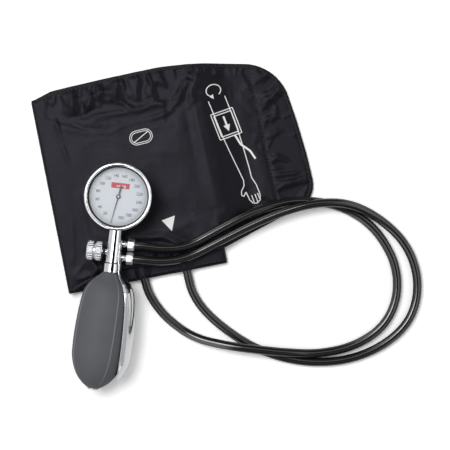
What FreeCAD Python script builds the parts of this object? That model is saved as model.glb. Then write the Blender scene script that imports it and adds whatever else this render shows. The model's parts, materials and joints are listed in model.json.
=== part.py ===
import FreeCAD, Part
import math
import os

# Aneroid blood-pressure set of the palm type: a dial gauge on a stem with a release valve,
# a hand bulb with its spoon, two hoses and a cuff folded in three layers.
# Millimetres. +Z is up, and the cuff and the bulb rest on the plane Z = 0.
#
# Handset frame: X to the right of the stem, Y from the bulb towards the gauge, Z out of the
# dial, with its origin at the gauge's centre on the stem's axis. "s" is a distance along the
# stem from the gauge's centre towards the bulb, so s = -Y.
# Cuff frame: X along the cuff's length, Y across its width, from its lower left corner.

V = FreeCAD.Vector
UP = V(0, 0, 1)

# --- layout -------------------------------------------------------------------------------
GAUGE_PLACE = (-37.4, 20.1)
HANDSET_YAW = -6.2
CUFF_PLACE = (-76.2, -51.9)
CUFF_YAW = 11.2
REST_GAP = 0.05

# --- gauge housing ------------------------------------------------------------------------
CASE_RADIUS = 23.0
CASE_WALL = 1.0
CASE_BACK = 1.2
CASE_DROP = 10.5
CASE_EDGE = 3.0
CASE_RIM = 9.5
BOSS_RADIUS = 5.4
POST_CIRCLE = 18.5
POST_RADIUS = 2.0
POST_ANGLES = (90, 210, 330)
BEZEL_RADIUS = 24.6
BEZEL_FOOT = 6.0
BEZEL_TOP = 14.8
BEZEL_LIP = 0.9
GASKET_HEIGHT = 1.2
GASKET_WIDTH = 1.75
LENS_HEIGHT = 1.8
DIAL_TOP = 9.0
DIAL_THICKNESS = 0.5
DIAL_MARGIN = 0.6
DIAL_HOLE = 1.4
DIAL_FEET = ((-7.9, 2.7), (4.6, 1.4))
DIAL_FOOT_RADIUS = 0.9
DIAL_PIN_RADIUS = 0.5
SEAT_GAP = 0.05
RUNNING_GAP = 0.05

# --- pointer and dial sweep ---------------------------------------------------------------
DIAL_ZERO = 190.1
DIAL_SWEEP = 337.2
POINTER_LENGTH = 16.5
POINTER_TAIL = 8.3
POINTER_THICKNESS = 0.3
POINTER_LIFT = 0.45
HUB_RADIUS = 1.7
HUB_HEIGHT = 0.6

# --- movement -----------------------------------------------------------------------------
LOWER_PLATE = 1.5
PLATE_THICKNESS = 1.0
LOWER_PLATE_MARGIN = 1.5
UPPER_PLATE = 6.0
UPPER_PLATE_THICKNESS = 0.8
UPPER_PLATE_EDGE = 2.4
PILLAR_RADIUS = 1.3
# places of the pillars, along and across the line from the sector's arbor to the pinion
PILLAR_BY_ARBOR = (2.0, 8.0)
PILLARS_BY_PINION = (6.5, 6.0)
SCREW_HEAD_RADIUS = 1.6
SCREW_HEAD = 0.8
SCREW_SHANK_RADIUS = 0.6
SCREW_SHANK = 3.0
GEAR_MODULE = 0.3
PINION_TEETH = 10
SECTOR_RATIO = 10
TOOTH_SHARE = 0.36
SECTOR_SPARE_TEETH = 2
SECTOR_PLANE = 3.5
SECTOR_THICKNESS = 0.6
SECTOR_RIM = 2.2
SECTOR_HUB = 1.7
SECTOR_ARBOR_RADIUS = 0.6
SECTOR_ARBOR_Y = -3.75
PINION_SHAFT_RADIUS = 0.5
PINION_OVERHANG = 0.4
TAIL_LENGTH = 2.5
TAIL_RADIUS = 0.5
ROCKER_HEIGHT = 0.2
ROCKER_RADIUS = 0.6
ROCKER_ARM = 2.5
ROCKER_TILT = 22.92
ROCKER_ARM_WIDTH = 1.8
ROCKER_ARM_HALF = 0.35
FINGER_WIDTH = 0.8
FINGER_GAP = 0.35
EAR_WIDTH = 1.2
EAR_DROP = 0.9
EAR_HALF = 1.5
EAR_PLACES = (1.7, -14.1)
FINGER_SLOT = 1.6
CAPSULE_RADIUS = 14.0
CAPSULE_BOTTOM = -6.6
CAPSULE_PLIES = 2
CAPSULE_PLY_HEIGHT = 2.2
CAPSULE_RIM = 0.3
CAPSULE_RISE = 1.0
CAPSULE_PORT_RADIUS = 2.4
BUTTON_RADIUS = 1.2
PAD_GAP = 0.1
SPRING_INNER = 1.0
SPRING_PITCH = 0.9
SPRING_TURNS = 4
SPRING_STRIP = 0.18
SPRING_HEIGHT = 0.5
SPRING_PLANE = 4.9
SPRING_STUD = 0.4
DUCT_WIDTH = 7.0
DUCT_HEIGHT = 2.2
DUCT_BORE = 0.8
DUCT_CLEARANCE = 0.5
RISER_START = 16.2
RISER_END = 20.4
RISER_WALL = 1.0

# --- stem, collar and outlet check valve --------------------------------------------------
STEM_START = 24.0
STEM_END = 48.9
STEM_TOP_RADIUS = 5.25
STEM_FOOT_RADIUS = 5.7
STEM_BORE = 1.2
SPIGOT_RADIUS = 2.0
SPIGOT_TIP = 17.6
STEM_TAIL = 3.4
STEM_TAIL_RADIUS = 4.0
COLLAR_RADIUS = 6.2
COLLAR_END = 55.6
COLLAR_NECK = 0.5
BARB_RADIUS = 3.9
BARB_LENGTH = 10.0
CHECK_SEAT_THICKNESS = 1.2
CHECK_SEAT_BORE = 1.0
CHECK_DISC_RADIUS = 3.0
CHECK_DISC_THICKNESS = 0.8
CHECK_LIFT = 0.6

# --- release valve ------------------------------------------------------------------------
VALVE_S = 41.0
VALVE_SEAT = 2.4
VALVE_SPIGOT_RADIUS = 2.4
VALVE_NUT_START = 5.75
VALVE_NUT_END = 7.8
VALVE_NUT_ACROSS = 6.2
VALVE_SLEEVE_RADIUS = 2.6
VALVE_SLEEVE_END = 12.2
SPINDLE_RADIUS = 1.2
SEAL_LENGTH = 1.0
ORING_RADIUS = 0.3
ORING_PLACE = 9.6
KNOB_START = 8.3
KNOB_END = 19.4
KNOB_RADIUS = 7.0
KNOB_GROOVE = 0.9
KNOB_BEVEL = 1.0
KNOB_FLUTES = 24
FLUTE_RADIUS = 0.7
FLUTE_DEPTH = 0.4
VALVE_TURNS = 1.5
VALVE_LEAD = 0.7

# --- hose fittings ------------------------------------------------------------------------
UPPER_FITTING_S = 34.0
LOWER_FITTING_S = 44.0
FITTING_RADIUS = 1.9
FITTING_BORE = 0.9
FITTING_DEPTH = 3.2
SHOULDER_START = 6.9
SHOULDER_END = 7.8
SHOULDER_RADIUS = 2.9
FERRULE_START = 10.0
FERRULE_ACROSS = 8.0
FERRULE_HEX = 4.0
FERRULE_END = 14.8
FERRULE_LIP_RADIUS = 4.3

# --- bulb and intake valve ----------------------------------------------------------------
BULB_START = 55.8
BULB_LENGTH = 85.5
BULB_RADIUS = 20.3
BULB_NECK_RADIUS = 6.0
BULB_WALL = 2.2
BULB_END_RADIUS = 4.0
BULB_LEAN = 2.8
# the bulb's outline as arcs: where each passes and where it ends, as shares of its length
# from the neck and of its radius
BULB_SHAPE = (((0.035, 0.433), (0.084, 0.66)), ((0.143, 0.825), (0.236, 0.935)),
              ((0.458, 0.995), (0.657, 0.985)), ((0.788, 0.902), (0.894, 0.70)),
              ((0.950, 0.50), (1.0, 0.197)))
# the first arc of its hollow: where it passes
CAVITY_TURN = (0.161, 0.62)
PLUG_RADIUS = 2.6
PLUG_LENGTH = 8.0
PLUG_FLANGE = 1.0
PLUG_ORIFICE = 0.9
BALL_RADIUS = 1.5
BALL_CHAMBER = 1.7
BALL_LIFT = 0.8
CAGE_LIP = 0.8

# --- spoon --------------------------------------------------------------------------------
SPOON_SHEET = 1.0
SPOON_STEP = 3.0
# sections of the spoon: s, crown's distance from the axis, rim's distance, half width
SPOON_SECTIONS = ((31.5, 6.45, 5.6, 3.2), (33.5, 6.5, 4.6, 4.6), (47.0, 6.77, 4.87, 4.7),
                  (49.0, 7.4, 5.5, 4.95), (53.5, 7.5, 5.8, 5.0), (56.0, 8.4, 6.3, 5.6),
                  (59.0, 11.4, 7.5, 7.8), (63.0, 15.3, 9.9, 10.5), (69.0, 18.3, 12.4, 13.0),
                  (75.0, 19.7, 13.6, 14.0), (84.0, 21.0, 14.3, 14.1), (98.0, 21.8, 14.7, 14.2),
                  (112.0, 21.4, 14.6, 13.4), (122.0, 20.3, 14.1, 11.2), (129.0, 17.3, 13.6, 7.6),
                  (133.5, 14.6, 13.4, 3.0))
ARM_SECTIONS = 6

# --- hoses --------------------------------------------------------------------------------
HOSE_DIAMETER = 6.5
HOSE_SEAM = 0.05
HOSE_LEAD = 9.0
HOSE_MOUTH = 6.0
HOSE_UPPER = ((-6.0, -18.0, 18.2), (12.5, -16.5, 14.0), (33.4, -4.9, 13.4), (58.5, 8.5, 12.2),
              (83.9, 16.7, 7.4), (105.0, 17.8, 7.3), (124.0, 14.2, 3.6), (141.0, 6.3, 3.4),
              (156.1, -7.9, 3.4), (168.0, -30.3, 3.4), (169.0, -54.9, 3.4), (158.9, -76.5, 3.4),
              (136.9, -91.0, 3.4), (110.2, -96.8, 3.4), (84.4, -95.1, 9.0),
              (62.8, -92.6, 11.8), (41.9, -90.0, 10.8), (16.4, -84.8, 3.8),
              (-3.6, -70.2, 3.4), (-13.8, -57.2, 3.5))
HOSE_LOWER = ((-6.0, -27.4, 17.8), (12.0, -24.9, 13.9), (33.4, -13.9, 13.4), (58.5, -0.8, 12.8),
              (83.9, 10.0, 13.2), (109.0, 16.5, 14.6), (134.5, 15.6, 9.6), (159.9, 1.8, 3.4),
              (177.7, -17.6, 3.4), (185.2, -43.7, 3.4), (180.0, -69.8, 3.4),
              (162.1, -88.5, 3.4), (136.0, -100.5, 3.4), (108.0, -103.5, 3.4),
              (82.5, -99.8, 3.4), (58.6, -90.8, 3.4), (37.8, -76.6, 3.4), (23.5, -63.5, 3.4),
              (15.5, -51.0, 3.5))

# --- cuff ---------------------------------------------------------------------------------
CUFF_WIDTH = 146.5
FOLDED_LENGTH = 120.4
CUFF_REACH = 195.0
CUFF_THICKNESS = 3.0
LAYER_GAP = 0.2
INNER_END = 5.0
# plan of the top layer's free edges: x, or x past CUFF_REACH where it is negative or 0, and y,
# or y past CUFF_WIDTH for the far side
NEAR_EDGE = ((30.0, 8.5), (71.0, 7.0), (117.0, 10.5))
NEAR_CORNER = ((-15.0, 29.5), (-4.6, 36.0), (0.0, 50.0))
RIGHT_EDGE = ((-2.4, 86.0), (-5.6, -35.5))
FAR_CORNER = ((-13.0, -16.0), (-32.0, -3.5))
FAR_EDGE = ((-62.0, 2.4), (100.0, 6.0), (50.0, 5.3), (16.0, 4.0))
CORNER_INSET = 0.7
DRAPE_START = 122.0
DRAPE_RADIUS = 30.0
DRAPE_LIFT = 0.1
BINDING_WIDTH = 3.2
BINDING_PROUD = 0.3
DENT_GAP = 0.2
BLADDER_THICKNESS = 1.7
BLADDER_REACH = 105.0
BLADDER_EDGE = 15.0
POCKET_GAP = 0.15
PORT_RADIUS = 2.7
PORT_START = 6.0
PORT_HEIGHT = 3.95
PORT_PLACES = {"left": 57.2, "right": 89.4}
TUNNEL_GAP = 0.25
PATCH_THICKNESS = 0.9
HOOK_STRIP = (160.0, 184.0, 50.0, 114.0)
LOOP_FIELD = (12.0, 108.0, 20.0, 128.0)


# --- helpers ------------------------------------------------------------------------------
def rod(radius, start, end):
    """A cylinder from one point to another."""
    return Part.makeCylinder(radius, (end - start).Length, start, end - start)


def line_and_arcs(start, *moves):
    """A closed wire: each move is one point, for a line, or two, for an arc and its end."""
    edges = []
    here = start
    for move in moves + ((start,),):
        end = move[-1]
        if (end - here).Length > 1e-6:
            shape = Part.Arc(here, move[0], end) if len(move) == 2 else Part.LineSegment(here, end)
            edges.append(shape.toShape())
        here = end
    return Part.Wire(edges)


def turned(wire, axis):
    """The solid that a closed wire sweeps in a full turn about an axis through the origin."""
    return Part.Face(wire).revolve(V(0, 0, 0), axis, 360)


def turned_on_dial(*points):
    """A turned piece about the dial's axis, from (radius, height) points."""
    corners = [V(radius, 0, height) for radius, height in points]
    return turned(Part.makePolygon(corners + corners[:1]), UP)


def turned_on_stem(*points):
    """A turned piece about the stem's axis, from (radius, s) points."""
    corners = [V(radius, -s, 0) for radius, s in points]
    return turned(Part.makePolygon(corners + corners[:1]), V(0, 1, 0))


def slab(wire, bottom, top):
    """A flat wire at height 0 lifted to the slab between two heights."""
    solid = Part.Face(wire).extrude(V(0, 0, top - bottom))
    solid.translate(V(0, 0, bottom))
    return solid


def block(x, y, z):
    """A box from three (low, high) pairs."""
    return Part.makeBox(x[1] - x[0], y[1] - y[0], z[1] - z[0], V(x[0], y[0], z[0]))


def polar(radius, degrees, height=0.0):
    angle = math.radians(degrees)
    return V(radius * math.cos(angle), radius * math.sin(angle), height)


def hexagon(across, x0, x1, s):
    """A hexagonal bar along X, centred on the stem's axis at s."""
    radius = across / math.sqrt(3)
    corners = [V(x0, -s + radius * math.cos(math.radians(60 * i)),
                 radius * math.sin(math.radians(60 * i))) for i in range(6)]
    return Part.Face(Part.makePolygon(corners + corners[:1])).extrude(V(x1 - x0, 0, 0))


def fused(shapes):
    first, *others = shapes
    return first.multiFuse(others).removeSplitter() if others else first


# --- where the handset and the cuff lie ---------------------------------------------------
def layer_height(number):
    """Middle height of a cuff layer, counted from 0 at the bottom."""
    return CUFF_THICKNESS / 2 + number * (CUFF_THICKNESS + LAYER_GAP)


def stack_top():
    return layer_height(2) + CUFF_THICKNESS / 2


def bulb_outline():
    """The bulb's outer curve, from its neck to its end, as arcs in the stem's plane."""
    arcs = []
    here = V(BULB_NECK_RADIUS, -BULB_START, 0)
    for row in BULB_SHAPE:
        middle, end = (V(BULB_RADIUS * width, -BULB_START - BULB_LENGTH * share, 0)
                       for share, width in row)
        arcs.append(Part.Arc(here, middle, end).toShape())
        here = end
    return arcs


def handset_rest():
    """Height of the gauge's centre and pitch of the stem, with the case on the cuff and the
    bulb on the plane that the set lies on."""
    samples = [point for arc in bulb_outline() for point in arc.discretize(40)]

    def gauge_height(pitch):
        edge = (CASE_RADIUS - CASE_EDGE) * abs(math.sin(pitch))
        depth = (CASE_DROP - CASE_EDGE) * math.cos(pitch) + CASE_EDGE
        return stack_top() + REST_GAP + edge + depth

    def bulb_height(pitch):
        height = gauge_height(pitch)
        return min(height + p.y * math.sin(pitch) - p.x * math.cos(pitch) for p in samples)

    low, high = math.radians(-10), math.radians(20)
    for _ in range(50):
        middle = (low + high) / 2
        if bulb_height(middle) > REST_GAP:
            low = middle
        else:
            high = middle
    return gauge_height(low), math.degrees(low)


GAUGE_HEIGHT, HANDSET_PITCH = handset_rest()
HANDSET = FreeCAD.Placement(
    V(GAUGE_PLACE[0], GAUGE_PLACE[1], GAUGE_HEIGHT),
    FreeCAD.Rotation(UP, HANDSET_YAW) * FreeCAD.Rotation(V(1, 0, 0), HANDSET_PITCH))
CUFF = FreeCAD.Placement(V(CUFF_PLACE[0], CUFF_PLACE[1], 0), FreeCAD.Rotation(UP, CUFF_YAW))


def lens_bottom():
    return CASE_RIM + GASKET_HEIGHT


def lip_bottom():
    return lens_bottom() + LENS_HEIGHT + SEAT_GAP


def bezel_bore():
    return CASE_RADIUS + SEAT_GAP


def case_bore():
    return CASE_RADIUS - CASE_WALL


def case_floor():
    return CASE_BACK - CASE_DROP


def rounded_pot(radius, floor, rim):
    """A solid pot shape with a rounded lower edge."""
    bend = CASE_EDGE * (1 - math.sqrt(0.5))
    return turned(line_and_arcs(
        V(0, 0, floor), (V(radius - CASE_EDGE, 0, floor),),
        (V(radius - bend, 0, floor + bend), V(radius, 0, floor + CASE_EDGE)),
        (V(radius, 0, rim),), (V(0, 0, rim),)), UP)


def case_cavity():
    return rounded_pot(case_bore(), case_floor(), CASE_RIM)


# --- gauge housing ------------------------------------------------------------------------
def gauge_case():
    """A pot with a rounded back, three posts for the movement and a boss for the stem."""
    shell = rounded_pot(CASE_RADIUS, -CASE_DROP, CASE_RIM).cut(case_cavity())
    boss = rod(BOSS_RADIUS, V(0, -case_bore() + CASE_WALL / 2, 0), V(0, -STEM_START, 0))
    boss = boss.cut(Part.makeCylinder(case_bore(), 2 * BOSS_RADIUS, V(0, 0, -BOSS_RADIUS)))
    posts = [rod(POST_RADIUS, polar(POST_CIRCLE, a, case_floor()), polar(POST_CIRCLE, a, LOWER_PLATE))
             for a in POST_ANGLES]
    case = fused([shell, boss] + posts)
    case = case.cut(rod(SPIGOT_RADIUS + RUNNING_GAP, V(0, -SPIGOT_TIP, 0), V(0, -STEM_START, 0)))
    for a in POST_ANGLES:
        case = case.cut(rod(SCREW_SHANK_RADIUS + RUNNING_GAP, polar(POST_CIRCLE, a, LOWER_PLATE),
                            polar(POST_CIRCLE, a, LOWER_PLATE - SCREW_SHANK)))
    return case


def bezel():
    """The ring that holds the lens: a straight skirt, a rounded crown and an inner lip."""
    bore = bezel_bore()
    lip = bore - BEZEL_LIP
    crown = (BEZEL_RADIUS - lip) / 2
    chamfer = 0.5
    return turned(line_and_arcs(
        V(bore, 0, BEZEL_FOOT), (V(BEZEL_RADIUS - chamfer, 0, BEZEL_FOOT),),
        (V(BEZEL_RADIUS, 0, BEZEL_FOOT + chamfer),),
        (V(BEZEL_RADIUS, 0, BEZEL_TOP - crown),),
        (V(BEZEL_RADIUS - 0.3 * crown, 0, BEZEL_TOP - 0.3 * crown), V(lip + crown, 0, BEZEL_TOP)),
        (V(lip + 0.2 * crown, 0, BEZEL_TOP - 0.3 * crown), V(lip, 0, BEZEL_TOP - 0.6 * crown)),
        (V(lip, 0, lip_bottom()),), (V(bore, 0, lip_bottom()),)), UP)


def lens():
    radius = bezel_bore() - 2 * SEAT_GAP
    return Part.makeCylinder(radius, LENS_HEIGHT, V(0, 0, lens_bottom()))


def lens_gasket():
    outer = bezel_bore() - 2 * SEAT_GAP
    inner = outer - GASKET_WIDTH
    return turned_on_dial((inner, CASE_RIM), (outer, CASE_RIM), (outer, lens_bottom()),
                          (inner, lens_bottom()))


def dial():
    """A disc with a hole for the pointer's arbor, on two feet that stand on the upper plate."""
    radius = case_bore() - DIAL_MARGIN
    disc = Part.makeCylinder(radius, DIAL_THICKNESS, V(0, 0, DIAL_TOP - DIAL_THICKNESS))
    plate_top = UPPER_PLATE + UPPER_PLATE_THICKNESS
    feet = []
    for x, y in DIAL_FEET:
        feet.append(rod(DIAL_FOOT_RADIUS, V(x, y, plate_top), V(x, y, DIAL_TOP - DIAL_THICKNESS)))
        feet.append(rod(DIAL_PIN_RADIUS, V(x, y, UPPER_PLATE), V(x, y, plate_top)))
    body = fused([disc] + feet)
    return body.cut(rod(DIAL_HOLE, V(0, 0, DIAL_TOP - 2 * DIAL_THICKNESS), V(0, 0, DIAL_TOP + 1)))


# --- pointer and pinion -------------------------------------------------------------------
def pointer_plane():
    return DIAL_TOP + POINTER_LIFT


def pointer():
    """A slender hand with a wider tail and a hub pressed on the pinion's arbor."""
    plane = pointer_plane()
    tip, root, tail = 0.16, 0.5, 0.75
    blade = Part.makePolygon([V(-tip, POINTER_LENGTH, 0), V(tip, POINTER_LENGTH, 0), V(root, 0, 0),
                              V(tail, -POINTER_TAIL, 0), V(-tail, -POINTER_TAIL, 0), V(-root, 0, 0),
                              V(-tip, POINTER_LENGTH, 0)])
    hub = Part.makeCylinder(HUB_RADIUS, HUB_HEIGHT, V(0, 0, plane))
    hand = fused([slab(blade, plane, plane + POINTER_THICKNESS), hub])
    hand = hand.cut(Part.makeCylinder(PINION_SHAFT_RADIUS, 2 * HUB_HEIGHT, V(0, 0, plane - 0.1)))
    hand.rotate(V(0, 0, 0), UP, -DIAL_ZERO)
    return hand


def pitch_radius(teeth):
    return GEAR_MODULE * teeth / 2


def gear_tooth(radius, degrees):
    """One tooth standing on a pitch circle: a tapered blade with a narrow tip."""
    half = TOOTH_SHARE * math.pi * GEAR_MODULE / 2
    foot, tip = radius - 1.35 * GEAR_MODULE, radius + 0.95 * GEAR_MODULE
    tooth = Part.makePolygon([V(foot, -1.35 * half, 0), V(radius, -half, 0), V(tip, -0.45 * half, 0),
                              V(tip, 0.45 * half, 0), V(radius, half, 0), V(foot, 1.35 * half, 0),
                              V(foot, -1.35 * half, 0)])
    tooth.rotate(V(0, 0, 0), UP, degrees)
    return tooth


def sector_teeth_pitch():
    return 360.0 / (PINION_TEETH * SECTOR_RATIO)


def sector_arbor_place():
    """The sector's arbor stands one centre distance from the pinion, on the left."""
    distance = pitch_radius(PINION_TEETH) * (1 + SECTOR_RATIO)
    return V(-math.sqrt(distance ** 2 - SECTOR_ARBOR_Y ** 2), SECTOR_ARBOR_Y, 0)


def mesh_direction():
    """Direction from the sector's arbor to the pinion, in degrees."""
    place = sector_arbor_place()
    return math.degrees(math.atan2(-place.y, -place.x))


def pinion_arbor():
    """A slim arbor that carries the pinion, the hairspring's collet and the pointer."""
    radius = pitch_radius(PINION_TEETH)
    bottom, top = SECTOR_PLANE - PINION_OVERHANG, SECTOR_PLANE + SECTOR_THICKNESS + PINION_OVERHANG
    teeth = [slab(gear_tooth(radius, mesh_direction() + 180 + 360 * i / PINION_TEETH), bottom, top)
             for i in range(PINION_TEETH)]
    root = Part.makeCylinder(radius - 1.25 * GEAR_MODULE, top - bottom, V(0, 0, bottom))
    shaft = rod(PINION_SHAFT_RADIUS, V(0, 0, LOWER_PLATE + 0.1),
                V(0, 0, pointer_plane() + HUB_HEIGHT + 0.1))
    collet = Part.makeCylinder(SPRING_INNER - SPRING_STRIP, SPRING_HEIGHT + 0.2,
                               V(0, 0, SPRING_PLANE - 0.1))
    return fused([root, shaft, collet] + teeth)


# --- sector, rocker and capsule -----------------------------------------------------------
def sector_swing():
    return DIAL_SWEEP / SECTOR_RATIO


def sector_gear():
    """A toothed fan with three spokes on its arbor, and a tail that the rocker's finger moves."""
    radius = pitch_radius(PINION_TEETH * SECTOR_RATIO)
    pitch = sector_teeth_pitch()
    count = int(sector_swing() / pitch) + 2 * SECTOR_SPARE_TEETH + 1
    first = mesh_direction() + (SECTOR_SPARE_TEETH - 0.5) * pitch
    top = SECTOR_PLANE + SECTOR_THICKNESS
    angles = [first - pitch * i for i in range(count)]
    low, high = angles[-1] - pitch / 2, angles[0] + pitch / 2
    teeth = [slab(gear_tooth(radius, a), SECTOR_PLANE, top) for a in angles]
    rim_outer = radius - 1.25 * GEAR_MODULE
    rim = Part.makeCylinder(rim_outer, SECTOR_THICKNESS, V(0, 0, SECTOR_PLANE), UP, high - low)
    rim = rim.cut(Part.makeCylinder(rim_outer - SECTOR_RIM, SECTOR_THICKNESS, V(0, 0, SECTOR_PLANE)))
    rim.rotate(V(0, 0, 0), UP, low)
    spokes = []
    spoke_half = 0.8
    for a in (low + 4, (low + high) / 2, high - 4):
        spoke = block((0, rim_outer - SECTOR_RIM / 2), (-spoke_half, spoke_half), (SECTOR_PLANE, top))
        spoke.rotate(V(0, 0, 0), UP, a)
        spokes.append(spoke)
    hub = Part.makeCylinder(SECTOR_HUB, SECTOR_THICKNESS + 0.4, V(0, 0, SECTOR_PLANE - 0.2))
    arbor = rod(SECTOR_ARBOR_RADIUS, V(0, 0, LOWER_PLATE + 0.1),
                V(0, 0, UPPER_PLATE + UPPER_PLATE_THICKNESS - 0.1))
    tail = block((0, TAIL_LENGTH), (-TAIL_RADIUS, TAIL_RADIUS), (SECTOR_PLANE, top))
    tail = tail.fuse(Part.makeCylinder(TAIL_RADIUS, SECTOR_THICKNESS,
                                       V(TAIL_LENGTH, 0, SECTOR_PLANE)))
    tail.rotate(V(0, 0, 0), UP, 180 - sector_swing() / 2)
    gear = fused([rim, hub, arbor, tail] + spokes + teeth)
    gear.translate(sector_arbor_place())
    return gear


def rocker_place():
    """A point on the rocker shaft's axis, level with the gauge's centre in X."""
    y = SECTOR_ARBOR_Y + TAIL_RADIUS + FINGER_GAP + FINGER_WIDTH / 2
    return V(0, y, ROCKER_HEIGHT)


def rocker_shaft():
    """A long shaft with an arm over the capsule's button and a finger behind the sector's tail."""
    place = rocker_place()
    lean = ROCKER_TILT / 2
    finger_x = sector_arbor_place().x - TAIL_LENGTH * (1 + math.cos(math.radians(sector_swing() / 2))) / 2
    left, right = finger_x - FINGER_WIDTH, EAR_WIDTH + BUTTON_RADIUS + 0.9
    shaft = rod(ROCKER_RADIUS, V(left, 0, 0), V(right, 0, 0))
    half = ROCKER_ARM_WIDTH / 2
    arm = block((-half, half), (0, ROCKER_ARM), (-ROCKER_ARM_HALF, ROCKER_ARM_HALF))
    pad = rod(ROCKER_RADIUS, V(-half, ROCKER_ARM, 0), V(half, ROCKER_ARM, 0))
    arm = fused([arm, pad])
    arm.rotate(V(0, 0, 0), V(1, 0, 0), -lean)
    height = SECTOR_PLANE + SECTOR_THICKNESS + 0.6 - ROCKER_HEIGHT
    finger = block((finger_x - FINGER_WIDTH / 2, finger_x + FINGER_WIDTH / 2),
                   (-FINGER_WIDTH / 2, FINGER_WIDTH / 2), (0, height))
    finger.rotate(V(0, 0, 0), V(1, 0, 0), -lean)
    rocker = fused([shaft, arm, finger])
    rocker.translate(place)
    return rocker


def button_top():
    """Height of the button that the rocker's pad rides on, with the capsule empty."""
    lean = math.radians(ROCKER_TILT / 2)
    return ROCKER_HEIGHT - ROCKER_ARM * math.sin(lean) - ROCKER_RADIUS - PAD_GAP


def capsule_top():
    return CAPSULE_BOTTOM + CAPSULE_PLIES * CAPSULE_PLY_HEIGHT


def diaphragm_capsule():
    """Two corrugated diaphragm boxes, one above the other, joined at their centres."""
    half = CAPSULE_PLY_HEIGHT / 2
    crest, trough = 0.92 * half, 0.62 * half
    radii = [CAPSULE_RADIUS * share for share in (0.28, 0.42, 0.56, 0.70, 0.84)]
    heights = (crest, trough, crest, trough, crest)
    boxes = []
    for ply in range(CAPSULE_PLIES):
        middle = CAPSULE_BOTTOM + CAPSULE_PLY_HEIGHT * (ply + 0.5)
        upper = [(0, half), (CAPSULE_PORT_RADIUS, half)] + list(zip(radii, heights))
        upper += [(CAPSULE_RADIUS - 0.8, CAPSULE_RIM / 2), (CAPSULE_RADIUS, CAPSULE_RIM / 2)]
        outline = [(r, middle + h) for r, h in upper] + [(r, middle - h) for r, h in reversed(upper)]
        boxes.append(turned_on_dial(*outline))
    return fused(boxes)


def capsule_button():
    return rod(BUTTON_RADIUS, V(0, 0, capsule_top()), V(0, 0, button_top()))


def inlet_block():
    """The duct that carries the stem's air along the case's floor to the capsule."""
    half = DUCT_WIDTH / 2
    floor, pad = case_floor(), CAPSULE_BOTTOM
    far, near = -RISER_END, -RISER_START
    duct_top = floor + DUCT_HEIGHT
    duct = block((-half, half), (far, 0), (floor, duct_top))
    end = Part.makeCylinder(half, duct_top - floor, V(0, 0, floor))
    riser = block((-half, half), (far, near), (floor, SPIGOT_RADIUS + RISER_WALL))
    seat = rod(CAPSULE_PORT_RADIUS, V(0, 0, floor), V(0, 0, pad))
    body = fused([duct, end, riser, seat])
    middle = (floor + duct_top) / 2
    body = body.cut(rod(SPIGOT_RADIUS + RUNNING_GAP, V(0, -SPIGOT_TIP, 0), V(0, far - 1, 0)))
    body = body.cut(rod(DUCT_BORE, V(0, -SPIGOT_TIP - 1, 0), V(0, -SPIGOT_TIP - 1, middle)))
    body = body.cut(rod(DUCT_BORE, V(0, -SPIGOT_TIP - 1, middle), V(0, 0, middle)))
    return body.cut(rod(DUCT_BORE, V(0, 0, middle), V(0, 0, pad))).common(case_cavity())


# --- plates, pillars and screws -----------------------------------------------------------
def pillar_places():
    """Three pillars round the sector's sweep: one beside its arbor, two behind the pinion."""
    arbor = sector_arbor_place()
    along = V(-arbor.x, -arbor.y, 0).normalize()
    across = V(-along.y, along.x, 0)
    (x0, y0), (x1, y1) = PILLAR_BY_ARBOR, PILLARS_BY_PINION
    return [arbor + along * x0 + across * y0, along * x1 + across * y1, along * x1 - across * y1]


def lower_plate():
    """A round plate with bearing holes, a slot for the finger and two ears for the rocker."""
    radius = case_bore() - LOWER_PLATE_MARGIN
    bottom, top = LOWER_PLATE, LOWER_PLATE + PLATE_THICKNESS
    plate = Part.makeCylinder(radius, PLATE_THICKNESS, V(0, 0, bottom))
    place = rocker_place()
    ears = []
    for x in EAR_PLACES:
        ears.append(block((x, x + EAR_WIDTH), (place.y - EAR_HALF, place.y + EAR_HALF),
                          (place.z - EAR_DROP, bottom)))
    plate = fused([plate] + ears)
    cuts = [rod(ROCKER_RADIUS + RUNNING_GAP, V(-radius, place.y, place.z), V(radius, place.y, place.z)),
            rod(PINION_SHAFT_RADIUS + RUNNING_GAP, V(0, 0, bottom - 1), V(0, 0, top + 1))]
    arbor = sector_arbor_place()
    cuts.append(rod(SECTOR_ARBOR_RADIUS + RUNNING_GAP, arbor + V(0, 0, bottom - 1),
                    arbor + V(0, 0, top + 1)))
    finger_x = arbor.x - TAIL_LENGTH
    cuts.append(block((finger_x - FINGER_SLOT / 2, finger_x + FINGER_SLOT / 2),
                      (place.y - EAR_HALF, place.y + EAR_HALF), (bottom - 1, top + 1)))
    half = DUCT_WIDTH / 2 + DUCT_CLEARANCE
    cuts.append(block((-half, half), (-radius - 1, -SPIGOT_TIP + 4 * DUCT_CLEARANCE),
                      (bottom - 1, top + 1)))
    for a in POST_ANGLES:
        cuts.append(rod(SCREW_SHANK_RADIUS + RUNNING_GAP, polar(POST_CIRCLE, a, bottom - 1),
                        polar(POST_CIRCLE, a, top + 1)))
    return plate.cut(cuts)


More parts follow.
